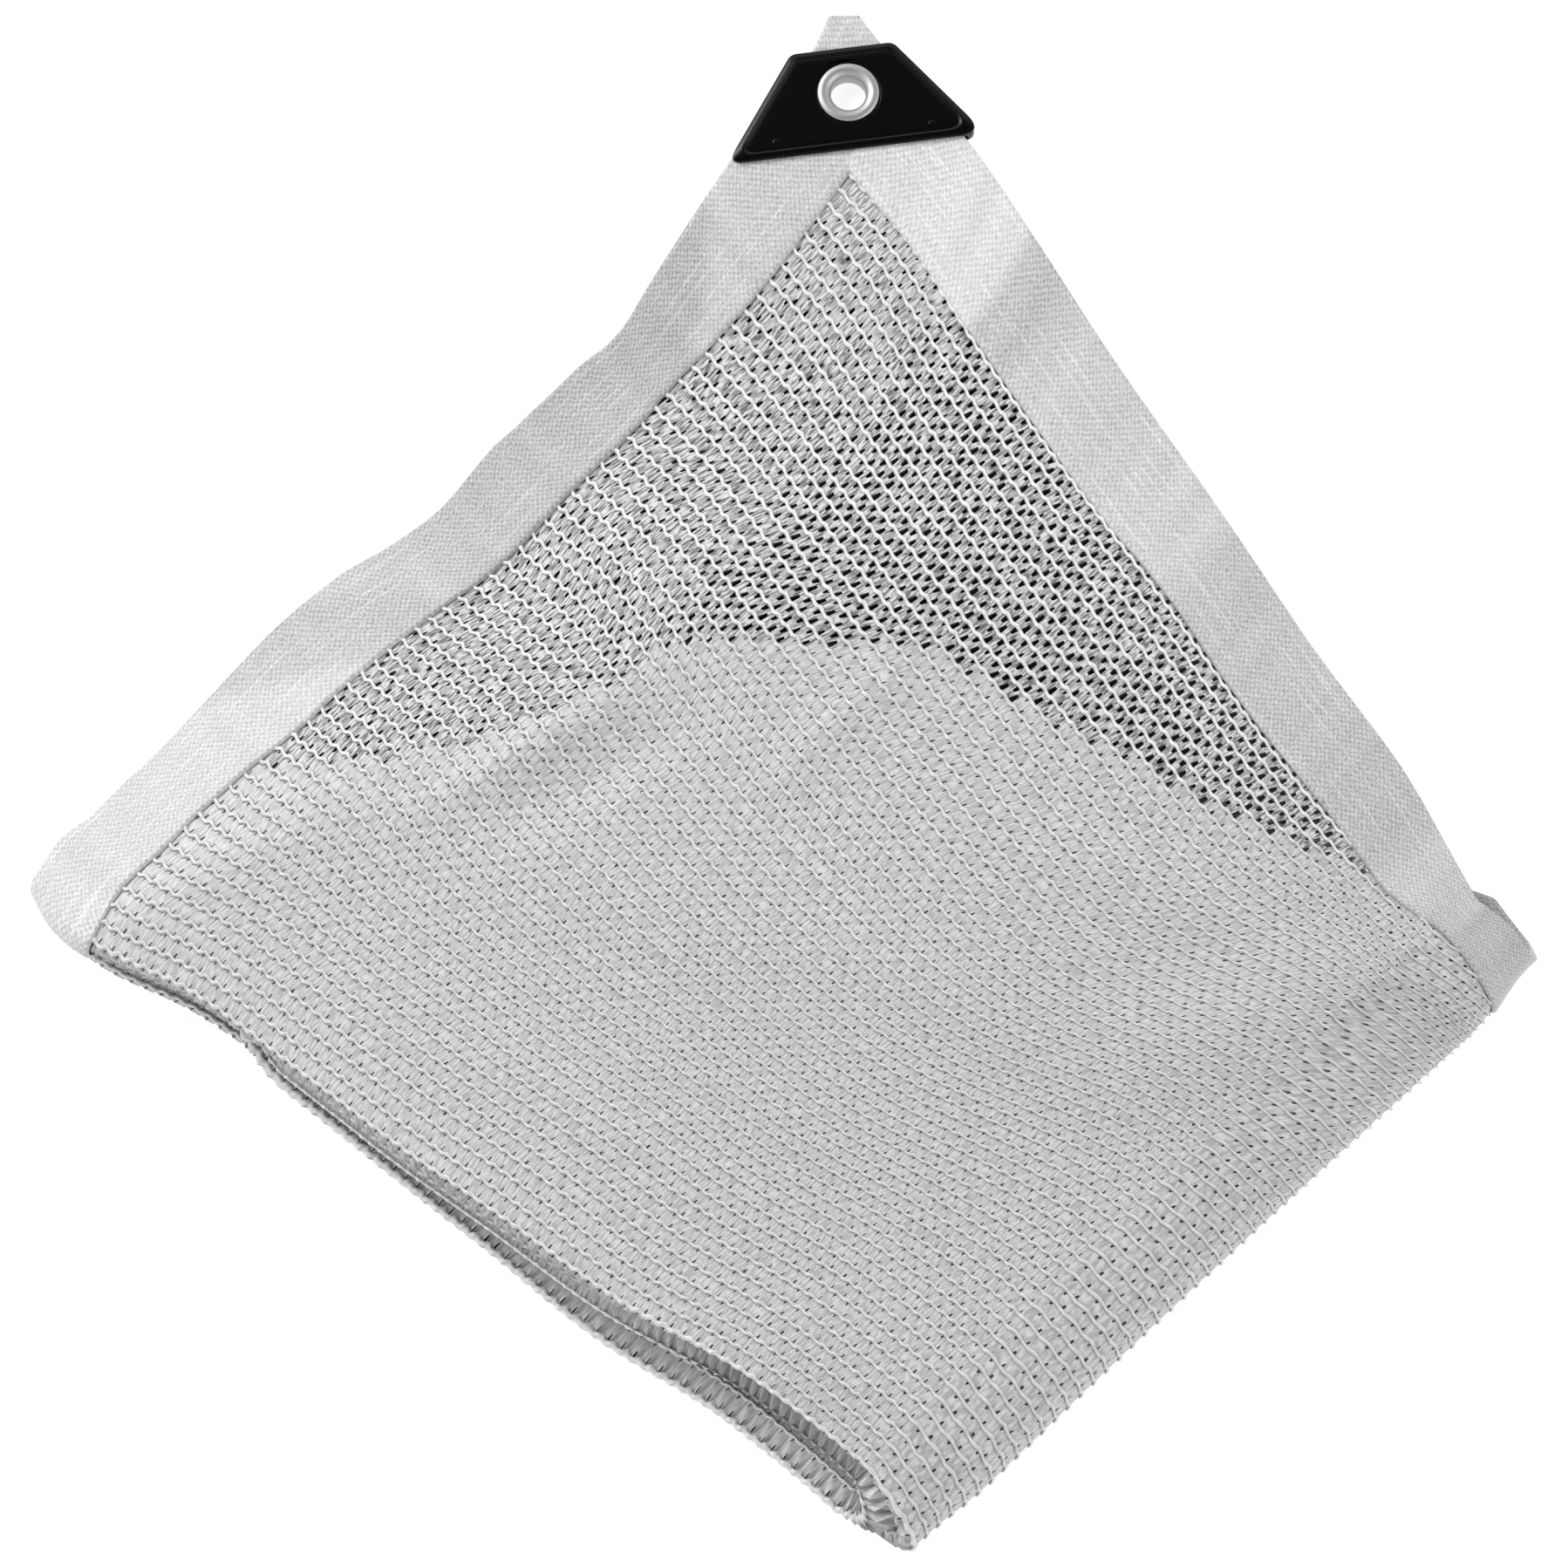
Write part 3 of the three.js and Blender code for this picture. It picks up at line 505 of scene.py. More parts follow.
# A stitch has a slot beside its left chain and one beside its right: from and to across the stitch,
# middle along it, half width at each end, slope. Their size is smallest over more net, and largest
# where the net stands open over the ground.
slots = [((0.12, 0.66), 0.66, (0.14, 0.085), 0.12), ((0.46, 0.88), 0.22, (0.085, 0.14), 0.12)]
size_on_net, size_loose, more_if_open, less_at_corner = 0.42, 0.70, 0.38, 0.22
uneven_size, uneven_aside, uneven_along = 0.22, 0.015, 0.03


def knit_cells(first, last, start, stop):
    """Stitches of the net between two chains and two courses, with their slots, and which of the net's
    looks each face has: strands over net, over open space or by the corner (0, 1, 4), with lit and shaded
    tones painted on, and slot sides painted in shade, over net or darker over open space (2, 3)."""
    cells = []
    for k in range(first, last):
        low, high = (stitches((k + 0.5) / wales, np.array([float(c)]))[0] for c in (start, stop))
        cells += [(k, n) for n in range(math.ceil(low), math.floor(high))]
    cells = np.array(cells, float)
    cells = cells[from_eyelet(knit_point(cells[:, 0] + 0.5, cells[:, 1] + 0.5)) > cells_clear]
    count = len(cells)
    place = cells[:, 0] / wales
    loose = outside_pleat(cells[:, 0] + 0.5, course_at(place, cells[:, 1])) * (cells[:, 1] < open_until)
    heads = knit_point(cells[:, 0] + 0.5, cells[:, 1])
    up_the_corner = ease((heads[:, 1] - corner_from) / corner_over)
    grown = mix(size_on_net, size_loose + more_if_open * open_below(heads), loose)
    grown = grown * (1 - less_at_corner * up_the_corner)
    local = [np.tile(p, (count, 1)) for p in ((0, 0), (1, 0), (1, 1), (0, 1))]
    for (left, right), middle, (half_left, half_right), lean in slots:
        size = np.clip(grown * rng.normal(1, uneven_size, count), 0.3, 1.25)
        aside, along = rng.normal(0, uneven_aside, count), rng.normal(0, uneven_along, count)
        # a small slot is shorter too, and keeps to its own chain
        inner = (right - left) * np.clip(1 - 0.8 * size, 0, 0.5)
        if half_left > half_right:
            ends = left + aside, right + aside - inner
        else:
            ends = left + aside + inner, right + aside
        for end, half, up in ((0, half_left, -1), (0, half_left, 1), (1, half_right, 1), (1, half_right, -1)):
            s = np.clip(ends[end], 0.09, 0.90)
            local.append(np.stack([s, middle + along + lean * (s - left) + up * half * size], 1))
    local = np.stack(local, 1)  # cell, corner, (s, t)
    uv = cells[:, None] + local
    face_high = 0.15
    tops = knit_point(uv[..., 0], uv[..., 1], np.full(uv.shape[:2], face_high))
    # over open space the strands take a painted shade, near the corner more often a lighter one
    over_open = (loose > 0.5).astype(int)
    strands = np.where((loose > 0.5) & (rng.random(count) < up_the_corner), 4, over_open)
    looks = [strands, strands]
    base = np.arange(count)[:, None] * 12
    right = base + np.array([1, 2, 3, 5, 6, 7, 9, 10, 11])
    left = base + np.array([0, 1, 11, 8, 9, 7, 4, 5, 3])
    faces = [right[:, ::-1], left[:, ::-1]]
    points, uvs = [tops.reshape(-1, 3)], [uv.reshape(-1, 2)]
    # the slots' sides, in mm: deeper where nothing lies under the net, but not beside the bindings
    clear_of_tape = ease((cells[:, 1] - 1) / 2) * ease((0.97 - place) / 0.03)
    deep = (0.7 + 0.9 * loose * clear_of_tape)[:, None]
    for h in (0, 1):
        rim = np.arange(4 + 4 * h, 8 + 4 * h)
        centre = local[:, rim].mean(1, keepdims=True)
        under = cells[:, None] + centre + (local[:, rim] - centre) * 0.9
        low_rim = knit_point(under[..., 0], under[..., 1], face_high - deep + np.zeros((count, 4)))
        points.append(low_rim.reshape(-1, 3))
        uvs.append(under.reshape(-1, 2))
        low = count * 12 + h * count * 4 + np.arange(count)[:, None] * 4
        for e in range(4):
            n = (e + 1) % 4
            wall = quads(base[:, 0] + rim[e], base[:, 0] + rim[n], low[:, 0] + n, low[:, 0] + e)
            faces.append(wall[:, ::-1])
            looks.append(2 + over_open)
    return np.vstack(points), faces, np.vstack(uvs), np.concatenate(looks)


def knit_chains(first, last, start, stop, rings):
    """The chains as closed threads that thicken at each stitch, with so many rings to a course."""
    course = np.linspace(start, stop, int((stop - start) * rings) + 1)
    wale, course = np.meshgrid(np.arange(first, last, dtype=float), course, indexing="ij")
    stitch = stitches(wale / wales, course)
    fat = 1 + 0.2 * np.sin(2 * np.pi * stitch + 1.2)
    points, uvs = [], []
    # the thread's four corners: aside in widths of a chain's space, and mm high
    for aside, high in ((0, 1.1), (0.125, 0.5), (0, 0.0), (-0.125, 0.5)):
        points.append(on_cloth(wale + swing(wale / wales, stitch) + aside * fat, course, high * fat))
        uvs.append(np.stack([wale + aside, stitch], -1))
    points, uvs = np.stack(points, 2), np.stack(uvs, 2)
    ids = np.arange(points.size // 3).reshape(points.shape[:3])
    faces = []
    for k in range(4):
        n = (k + 1) % 4
        faces.append(quads(ids[:, :-1, k], ids[:, :-1, n], ids[:, 1:, n], ids[:, 1:, k]))
    faces += [ids[:, 0], ids[:, -1, ::-1]]
    return points.reshape(-1, 3), faces, uvs.reshape(-1, 2)


def colour(hex_code):
    """sRGB hex to linear."""
    parts = [int(hex_code[i:i + 2], 16) / 255 for i in (1, 3, 5)]
    return tuple(c / 12.92 if c <= 0.04045 else ((c + 0.055) / 1.055) ** 2.4 for c in parts) + (1.0,)


def add(tree, kind, inputs=None, **settings):
    """Adds a node with its settings, and its inputs as values or links."""
    node = tree.nodes.new(kind)
    for name, value in settings.items():
        setattr(node, name, value)
    for name, value in (inputs or {}).items():
        if isinstance(value, bpy.types.NodeSocket):
            tree.links.new(value, node.inputs[name])
        else:
            node.inputs[name].default_value = value
    return node


def new_material(name, values):
    """A material, with these values set on its shader's own sockets."""
    material = bpy.data.materials.new(name)
    material.use_nodes = True
    shader = material.node_tree.nodes["Principled BSDF"]
    for socket, value in values.items():
        shader.inputs[socket].default_value = value
    return material, material.node_tree, shader


def strand_material(name, dark, light, streaks=(1.3, 6.5, 1), roughness=0.45, stops=(0.40, 0.62)):
    """Drawn polyethylene with fine uneven streaks, counted to a chain and to a stitch: slit tapes lie six
    or seven side by side in a stitch, and a round thread is streaked along its length."""
    material, tree, shader = new_material(name, {"Roughness": roughness, "IOR": 1.5})
    knit = add(tree, "ShaderNodeUVMap", uv_map="knit").outputs["UV"]
    strands = add(tree, "ShaderNodeVectorMath", {0: knit, 1: streaks}, operation="MULTIPLY")
    ripple = add(tree, "ShaderNodeTexNoise", {"Vector": strands.outputs[0], "Scale": 1.0, "Detail": 2.0,
                                              "Roughness": 0.6})
    tone = add(tree, "ShaderNodeValToRGB", {"Fac": ripple.outputs["Fac"]})
    for stop, (position, shade) in zip(tone.color_ramp.elements, zip(stops, (dark, light))):
        stop.position, stop.color = position, colour(shade)
    tree.links.new(tone.outputs["Color"], shader.inputs["Base Color"])
    bump = add(tree, "ShaderNodeBump", {"Height": ripple.outputs["Fac"], "Strength": 0.5, "Distance": 0.0005})
    tree.links.new(bump.outputs["Normal"], shader.inputs["Normal"])
    return material


def painted_shade_material(name, shade):
    """A plain matt tone of painted shade, for faces too narrow or too deep in shade to show more."""
    return new_material(name, {"Base Color": colour(shade), "Roughness": 0.7})[0]


# The strands are one material in lit and shaded copies, their tones painted for light and shade: over
# # more net they read as one soft grey; over open space their gaps are painted dark, as shade between
# # bright ridges, and by the corner somewhat less so.
strands_on_net = strand_material("slit_tape_polyethylene_on_net", "#a0a0a0", "#c8c8c8")
strands_painted_shade_over_open = strand_material("slit_tape_polyethylene", "#5a5a5a", "#cecece")
strands_painted_shade_by_corner = strand_material("slit_tape_polyethylene_by_corner", "#7c7c7c", "#d2d2d2")
# The slots' sides are painted shade: mid grey over net, near black over open space.
net_looks = [strands_on_net, strands_painted_shade_over_open, painted_shade_material("slot_sides_painted_shade_on_net", "#9e9e9e"),
             painted_shade_material("slot_sides_painted_deep_shade", "#3a3a3a"), strands_painted_shade_by_corner]
# The chains are smooth round thread, the brightest lines of the net. Over the pleat they take a copy painted
# a shade darker.
thread_streaks = dict(streaks=(11, 2.6, 1), roughness=0.4, stops=(0.36, 0.64))
chain_looks = [strand_material("round_polyethylene_thread", "#cbcbcb", "#e9e9e9", **thread_streaks),
               strand_material("round_polyethylene_thread_on_net", "#bebebe", "#dcdcdc", **thread_streaks)]

past_fold = courses_up + courses_turn + 2  # where the underside's piece takes over
last_course = station_course[-1] - 0.5
loop_wales = [math.floor(node_place[n] * wales) for n in reversed(pleat_loop)]
for name, first, last, start, stop, replaced in (
        ("net_face", -8, wales + 3, -1.6, past_fold, ["net_cloth"]),
        ("net_under", -8, wales + 1, past_fold, last_course, []),
        ("net_edge", *loop_wales, 0, last_course, [])):
    points, faces, uv, which = knit_cells(first, last, start, stop)
    make_piece(name, points, faces, net_looks, which, uv, 50, replaced)
    points, faces, uv = knit_chains(first, last + 1, start, stop, 4 if name == "net_face" else 3)
    faces = [f[from_eyelet(points[f].mean(1)) > chains_clear] for f in faces]
    centre = np.concatenate([uv[f].mean(1) for f in faces])
    on_net = outside_pleat(centre[:, 0], course_at(centre[:, 0] / wales, centre[:, 1])) < 0.5
    make_piece(name.replace("face", "top") + "_chains", points, faces,
                                          chain_looks, on_net, uv)


def plain_sheet(name, at, wale, course, order):
    """A sheet of the same net, whose strands are in its material only."""
    ids = np.arange(wale.size).reshape(wale.shape)
    faces = quads(ids[:-1, :-1], ids[1:, :-1], ids[1:, 1:], ids[:-1, 1:])[:, order]
    uv = np.stack([wale, course], -1).reshape(-1, 2)
    return make_piece(name, at.reshape(-1, 3), [faces], [strands_on_net], uv=uv)


# The pleat against the top layer, seen through its slots. Its edge turns down.
second_below, edge_down = 0.8, 3  # mm
course = np.arange(-1.5, 80.6, 1.0)[:, None]
share = np.linspace(0, 1, 61)
wale = mix(-3, pleat_edge(course), share)
down = np.broadcast_to(second_below + edge_down * ease((share - 0.97) / 0.03), wale.shape)
course = np.broadcast_to(course, wale.shape)
net_second = plain_sheet("net_second", on_cloth(wale, course, -down), wale, course, [0, 1, 2, 3])

# The rest of the cloth inside the packet, from the first pleat's fold on.
i, j = np.meshgrid(np.arange(len(bands) - 1, len(grid)),
                   np.arange(top_nodes + len(loop_turns), grid.shape[1]), indexing="ij")
net_folds = plain_sheet("net_folds", grid[i, j], node_place[j] * wales, station_course[i], [0, 3, 2, 1])


# ------------------------ bindings
# Two lengths of woven polyethylene tape, each folded over an edge of the net and sewn through. The end
# binding runs over the corner and round the first pleat, and the side binding butts against it.

# One section of the folded tape, from its upper inner edge round its fold to its lower inner edge: how
# far each point lies in from the fold, and how high, as a share of the tape's own height.
across = np.concatenate([tape_width + np.array([0.9, 0.6, 0.25]),
                         np.linspace(tape_width, 1.5, 19), [0.5, 0.1, 0]])
high = np.concatenate([[0.3, 0.7, 0.93], np.full(19, 1.0), [0.95, 0.75, 0.4]])
inward = np.concatenate([across, across[::-1]])
share_high = np.concatenate([high, -high[::-1]])
ply_in = net_thick / 2 + loose_fit
ply_out = ply_in + tape_ply
pucker_high = 0.7
thread_pitch = 1.25  # mm, the flat threads of the woven tape


def crumple(along, aside, seed, waves=14):
    """Soft uneven puckers, long along the tape, from -1 to 1."""
    draw = np.random.default_rng(seed)
    total = np.zeros(np.broadcast(along, aside).shape)
    for _ in range(waves):
        length, width = draw.uniform(18, 70), draw.uniform(14, 40)
        turn, phase = draw.uniform(-0.6, 0.6), draw.uniform(0, 2 * np.pi)
        total += np.sin(2 * np.pi * (along / length + turn * aside / width) + phase)
    return total / waves


def make_tape(name, line, steps, inner_edge, outer_edge, painted_sheen_tables, seed, replaced):
    """A closed ribbon: line(inward, step, raise) gives its points. The tables give, by mm along it, how
    far its inner edge goes past its width and its outer edge draws in, and how its painted sheen changes:
    lighter and darker stretches that stand for light and shade on the tape."""
    step = steps[:, None]
    middle_line = line(np.full(len(steps), tape_width / 2), steps, np.zeros(len(steps)))
    run = np.concatenate([[0], np.cumsum(np.linalg.norm(np.diff(middle_line, axis=0), axis=1))])[:, None]
    wider, narrower = (np.interp(run, *zip(*table)) for table in (inner_edge, outer_edge))
    share = np.minimum(inward / tape_width, 1)
    at = inward + wider * share + narrower * (1 - share)
    # puckers fade towards both edges, and only the upper ply's outer face has them
    edge_share = ease(inward / 6) * (0.4 + 0.6 * ease((tape_width - inward) / 5))
    pucker = pucker_high * crumple(run, inward, seed) * edge_share
    outer = line(at, step + 0 * inward, share_high * ply_out + np.maximum(pucker, -0.25) * (share_high > 0.9))
    inner = line(np.maximum(at, 1.3 + narrower), step + 0 * inward, np.clip(share_high * 1.2, -1, 1) * ply_in)
    points = np.concatenate([outer, inner[:, ::-1]], axis=1)
    count, ring = points.shape[:2]
    ids = np.arange(count * ring).reshape(count, ring)
    beside = np.roll(ids, -1, axis=1)
    faces = [quads(ids[:-1], ids[1:], beside[1:], beside[:-1])]
    half = ring // 2
    for end, order in ((0, 1), (-1, -1)):
        o, n = ids[end, :half], ids[end, :half - 1:-1]
        faces.append(quads(o[:-1], o[1:], n[1:], n[:-1])[:, ::order])
    width = np.concatenate([inward, -inward[::-1]])
    uv = np.stack([run + 0 * width, np.broadcast_to(width, (count, ring))], -1).reshape(-1, 2)
    piece = make_piece(name, points.reshape(-1, 3), faces, [woven], None, uv, 60, replaced)
    # the painted sheen, for light and shade on the tape: a tone by mm along it, with a little random
    # unevenness
    lean = np.interp(run, *zip(*painted_sheen_tables["lean"]))
    painted_sheen = np.interp(run + lean * (abs(width) - tape_width / 2), *zip(*painted_sheen_tables["painted_sheen"]))
    painted_sheen = painted_sheen + 0.12 * crumple(run * 3, width * 0.5, seed + 1)
    layer = piece.data.attributes.new("painted_sheen", "FLOAT", "POINT")
    layer.data.foreach_set("value", painted_sheen.astype(np.float32).ravel())
    return piece


# Flat threads woven over and under each other: a fine even grain under streaks, and a painted sheen of
# # bright stretches and dull patches, which stands for light and shade where the tape is lifted or creased.
woven, tree, shader = new_material("woven_polyethylene_tape", {"Roughness": 0.42, "IOR": 1.5})
place_on = add(tree, "ShaderNodeUVMap", uv_map="knit").outputs["UV"]
stray = add(tree, "ShaderNodeTexNoise", {"Vector": place_on, "Scale": 0.35, "Detail": 2.0})
strayed = add(tree, "ShaderNodeVectorMath", {0: stray.outputs["Color"], 1: (1.6, 1.6, 0), 2: place_on},
              operation="MULTIPLY_ADD")
mm = add(tree, "ShaderNodeSeparateXYZ", {"Vector": strayed.outputs[0]})
turns = []
for axis in ("X", "Y"):
    phase = add(tree, "ShaderNodeMath", {0: mm.outputs[axis], 1: math.pi / thread_pitch},
                operation="MULTIPLY")
    turns.append(add(tree, "ShaderNodeMath", {0: phase.outputs[0]}, operation="SINE"))
over = add(tree, "ShaderNodeMath", {0: turns[0].outputs[0], 1: turns[1].outputs[0]}, operation="MULTIPLY")
short = add(tree, "ShaderNodeVectorMath", {0: place_on, 1: (1.5, 0.6, 1)}, operation="MULTIPLY")
dashes = add(tree, "ShaderNodeTexNoise", {"Vector": short.outputs[0], "Scale": 1.0, "Detail": 3.0,
                                          "Roughness": 0.7})
weave = add(tree, "ShaderNodeMath", {0: over.outputs[0], 1: 0.14, 2: dashes.outputs["Fac"]},
            operation="MULTIPLY_ADD")
# a few warp threads stand proud in long broken lines: raised in the bump, and painted lighter where they
# catch the light, as a highlight
long = add(tree, "ShaderNodeVectorMath", {0: place_on, 1: (0.02, 1.1, 1)}, operation="MULTIPLY")
proud = add(tree, "ShaderNodeTexNoise", {"Vector": long.outputs[0], "Scale": 1.0, "Detail": 1.0})
proud_line = add(tree, "ShaderNodeMapRange", {"Value": proud.outputs["Fac"], "From Min": 0.58,
                                              "From Max": 0.68, "To Min": 0.0, "To Max": 0.16})
relief = add(tree, "ShaderNodeMath", {0: weave.outputs[0], 1: proud_line.outputs[0]})
# the painted sheen lightens or darkens the tape's tone, for light and shade
painted_sheen = add(tree, "ShaderNodeAttribute", attribute_name="painted_sheen").outputs["Fac"]
toned = add(tree, "ShaderNodeMath", {0: relief.outputs[0], 1: 1.25, 2: painted_sheen}, operation="MULTIPLY_ADD")
centred = add(tree, "ShaderNodeMath", {0: toned.outputs[0], 1: 0.645}, operation="SUBTRACT")
tone = add(tree, "ShaderNodeValToRGB", {"Fac": centred.outputs[0]})
for stop, (position, shade) in zip(tone.color_ramp.elements, ((0.0, "#7c7c7c"), (1.0, "#e4e4e4"))):
    stop.position, stop.color = position, colour(shade)
tree.links.new(tone.outputs["Color"], shader.inputs["Base Color"])
bump = add(tree, "ShaderNodeBump", {"Height": relief.outputs[0], "Strength": 0.5, "Distance": 0.0005})
tree.links.new(bump.outputs["Normal"], shader.inputs["Normal"])

# The end binding runs on round the first pleat, most of the way across the second layer.
end_last = top_nodes + len(loop_turns) + (len(inner_shares) - 1) * 5 / 6
end_tape = make_tape(
    "end_tape", lambda inward, step, raised: surface(inward / band_step, step, raised),
    np.arange(0, end_last, 0.5),
    [(45, 3), (65, 4), (90, 3.4), (110, 1.5), (130, -1.4), (145, -4.5), (155, -5.4), (165, -3.2), (180, 0),
     (200, 1.5), (215, 1.9), (228, 0.3), (240, -2), (262, -2.9), (275, -1), (300, 0), (330, 0.3), (345, -1.6),
     (360, -4.1), (382, -6), (400, -3.5), (420, -2.2), (440, 0)],
    [(170, 0), (188, 2.4), (205, 3.5), (222, 1.6), (236, 0), (258, 0.4), (272, 1.2), (288, 0), (392, 0),
     (410, 3.2), (424, 0)],
    {"lean": [(60, 0), (110, -1.4), (160, -1.4), (250, 0), (300, 1.6)],
     "painted_sheen": [(0, 0.5), (60, 0.48), (105, 0.48), (118, 0.3), (160, 0.28), (240, 0.26), (270, 0.38),
               (285, 0.3), (320, 0.34), (334, 0.5), (440, 0.5)]},
    3, ["end_binding"])
side_tape = make_tape(
    "side_tape", lambda inward, step, raised: surface(step, inward / band_step, raised),
    np.arange(6.1, len(grid) - 1, 0.5),
    [(0, 5), (20, 6), (50, 6.2), (80, 5.6), (150, 5.4), (175, 4.8), (190, 3.1), (215, 1.2), (245, 0.6),
     (270, -1.2), (300, -4), (330, -6.5), (345, -8.5), (358, -13.5), (369, -19), (380, -17.5), (400, -12.5),
     (440, -6)],
    [(0, 0), (385, 0), (394, 1.6), (401, 2.4), (408, 1.4), (417, 0)],
    {"lean": [(0, 0)],
     "painted_sheen": [(0, 0.58), (40, 0.66), (76, 0.7), (80, 0.4), (100, 0.4), (118, 0.5), (150, 0.47),
               (200, 0.52), (222, 0.36), (260, 0.4), (300, 0.36), (338, 0.38), (345, 0.52), (356, 0.48),
               (372, 0.36), (440, 0.34)]},
    5, ["side_binding"])

trimmed_at = 272  # the corner's tip is cut square here
punched = 8.8  # radius of the hole under the clamp, for the eyelet
for tape in (end_tape, side_tape):
    work = bmesh.new()
    work.from_mesh(tape.data)
    ends = bmesh.ops.bisect_plane(work, geom=work.verts[:] + work.edges[:] + work.faces[:],
                                  plane_co=in_scene(0, trimmed_at), plane_no=(0, 1, 0), clear_outer=True)
    edges = [e for e in ends["geom_cut"] if isinstance(e, bmesh.types.BMEdge)]
    bmesh.ops.holes_fill(work, edges=edges)
    barrel = in_scene(*eyelet_at)
    hole = [f for f in work.faces if (f.calc_center_median() - barrel).to_2d().length < punched * MM]
    bmesh.ops.delete(work, geom=hole, context="FACES")
    work.to_mesh(tape.data)
    work.free()


# ------------------------ corner clamp
# Two halves moulded in black polyethylene, pressed together over the bound corner. The mould leaves a
# raised rim along the edges and two small studs.

plate_turn = math.radians(7.5)
top_wide, bottom_wide, plate_above, plate_below = 37, 93, 17.7, -21
front_low, front_face = 6.2, 7.72  # heights of the front half's back and of its flat face
plate_corners = [  # x and y from the eyelet, before the turn, and the length rounded off
    (-bottom_wide / 2, plate_below, 6.5), (bottom_wide / 2, plate_below, 9.5),
    (top_wide / 2, plate_above, 2.2), (-top_wide / 2, plate_above, 2.2)]


def plate_outline(inset, each=12):
    """Points round the clamp, its edges moved in, with rounded corners."""
    corners = np.array([c[:2] for c in plate_corners], float)
    runs = unit(np.roll(corners, -1, axis=0) - corners)
    inner = np.stack([-runs[:, 1], runs[:, 0]], 1)
    moved = [here + np.linalg.solve(np.array([inner[i - 1], inner[i]]), np.array([inset, inset]))
             for i, here in enumerate(corners)]
    bend, line = np.linspace(0, 1, each)[:, None], []
    for i, here in enumerate(moved):
        radius = plate_corners[i][2]
        start, stop = here - runs[i - 1] * radius, here + runs[i] * radius
        line.append(start * (1 - bend) ** 2 + 2 * here * bend * (1 - bend) + stop * bend ** 2)
        following = moved[(i + 1) % 4] - runs[i] * plate_corners[(i + 1) % 4][2]
        line.append(stop + (following - stop) * np.linspace(0, 1, 9)[1:-1, None])
    return np.vstack(line)


def round_outline(radius):
    """The points of the outline moved onto a circle round the eyelet."""
    return unit(plate_outline(0.0)) * radius


def plate_points(rings):
    turn = np.array([[math.cos(plate_turn), -math.sin(plate_turn)],
                     [math.sin(plate_turn), math.cos(plate_turn)]])
    return np.array([np.column_stack([line @ turn.T + eyelet_at, z + np.zeros(len(line))])
                     for line, z in rings])


def turned_down(line):
    """Height of the front half's edge, which reaches down to the back half past the tape's edge."""
    return mix(front_low, 2.0, ease((line[:, 0] - 39.5) / 1.5))


def closed_rings(points):
    """Faces between rings, the last joined to the first."""
    count, ring = points.shape[:2]
    ids = np.arange(count * ring).reshape(count, ring)
    other, beside = np.roll(ids, -1, axis=0), np.roll(ids, -1, axis=1)
    both = np.roll(other, -1, axis=1)
    return quads(ids, beside, both, other)


# Moulded with a faint grain: near black on its faces, with soft bright lines along its rim only. The
# grain is drawn coarser than it is, or it wouldn't show.
moulded, tree, shader = new_material("moulded_black_polyethylene", {
    "Base Color": colour("#050505"), "Roughness": 0.24, "IOR": 1.5, "Specular IOR Level": 0.22})
on_clamp = add(tree, "ShaderNodeTexCoord").outputs["Object"]
grains = 0.9  # to a millimetre
grain = add(tree, "ShaderNodeTexNoise", {"Vector": on_clamp, "Scale": grains / MM, "Detail": 3.0})
bump = add(tree, "ShaderNodeBump", {"Height": grain.outputs["Fac"], "Strength": 0.12, "Distance": 0.0001})
tree.links.new(bump.outputs["Normal"], shader.inputs["Normal"])

# Rings of each half: first along its edge, how far in and how high, then round the eyelet, radius and
# height. The front half has a rim, a shallow groove inside it and a flat face.
front_edge = [(0, front_low), (0, 6.9), (0.12, 7.25), (0.4, 7.42), (1, 7.66), (1.7, 7.93), (1.95, 8),
              (2.1, 8), (2.35, 7.85), (2.65, 7.62), (2.85, 7.58), (3.15, 7.66), (3.6, front_face),
              (5.5, front_face)]
front_mouth = [(13, front_face), (12, front_face), (11.7, 7.68), (11.5, 7.6), (11.4, 7.4), (7, 7.4),
               (7, front_low)]
back_edge = [(0, 1.8), (0, 0.9), (0.12, 0.5), (0.45, 0.15), (0.95, 0)]
back_mouth = [(12, 0), (11.5, 0.15), (11.4, 1.1), (7, 1.1), (7, 1.8)]
for name, edge_rings, mouth_rings, node, flip in (
        ("clamp_front", front_edge, front_mouth, "corner_plate_front", 1),
        ("clamp_back", back_edge, back_mouth, "corner_plate_back", -1)):
    rings = [(plate_outline(inset), z) for inset, z in edge_rings]
    rings += [(round_outline(radius), z) for radius, z in mouth_rings]
    if name == "clamp_front":
        edge = plate_outline(0.0)
        rings[:1] = [(plate_outline(1.6), front_low), (plate_outline(1.2), turned_down(edge)),
                     (edge, turned_down(edge))]
    points = plate_points(rings)
    make_piece(name, points.reshape(-1, 3), [closed_rings(points)[:, ::flip]], [moulded], sharp=35,
               replaced=[node])

stud_aside, stud_below, stud_points = 28, -15.2, 24
turn = np.linspace(0, 2 * np.pi, stud_points, endpoint=False)
rings = [(1.25, 7.65), (1.15, 7.80), (0.85, 7.88), (0.45, 7.92), (0.05, 7.93)]  # radius and height
circle = np.stack([np.cos(turn), np.sin(turn)], -1)
points = np.concatenate([plate_points([(circle * r + (side * stud_aside, stud_below), z) for r, z in rings])
                         for side in (-1, 1)]).reshape(-1, 3)
ids = np.arange(len(points)).reshape(2, len(rings), stud_points)
faces = [quads(r[:-1], np.roll(r[:-1], -1, 1), np.roll(r[1:], -1, 1), r[1:]) for r in ids]
make_piece("clamp_studs", points, faces, [moulded], sharp=40)


# ------------------------ eyelet
# A common twelve millimetre eyelet pressed from aluminium sheet. Its barrel passes through the clamp
# and is rolled over a washer at the back.

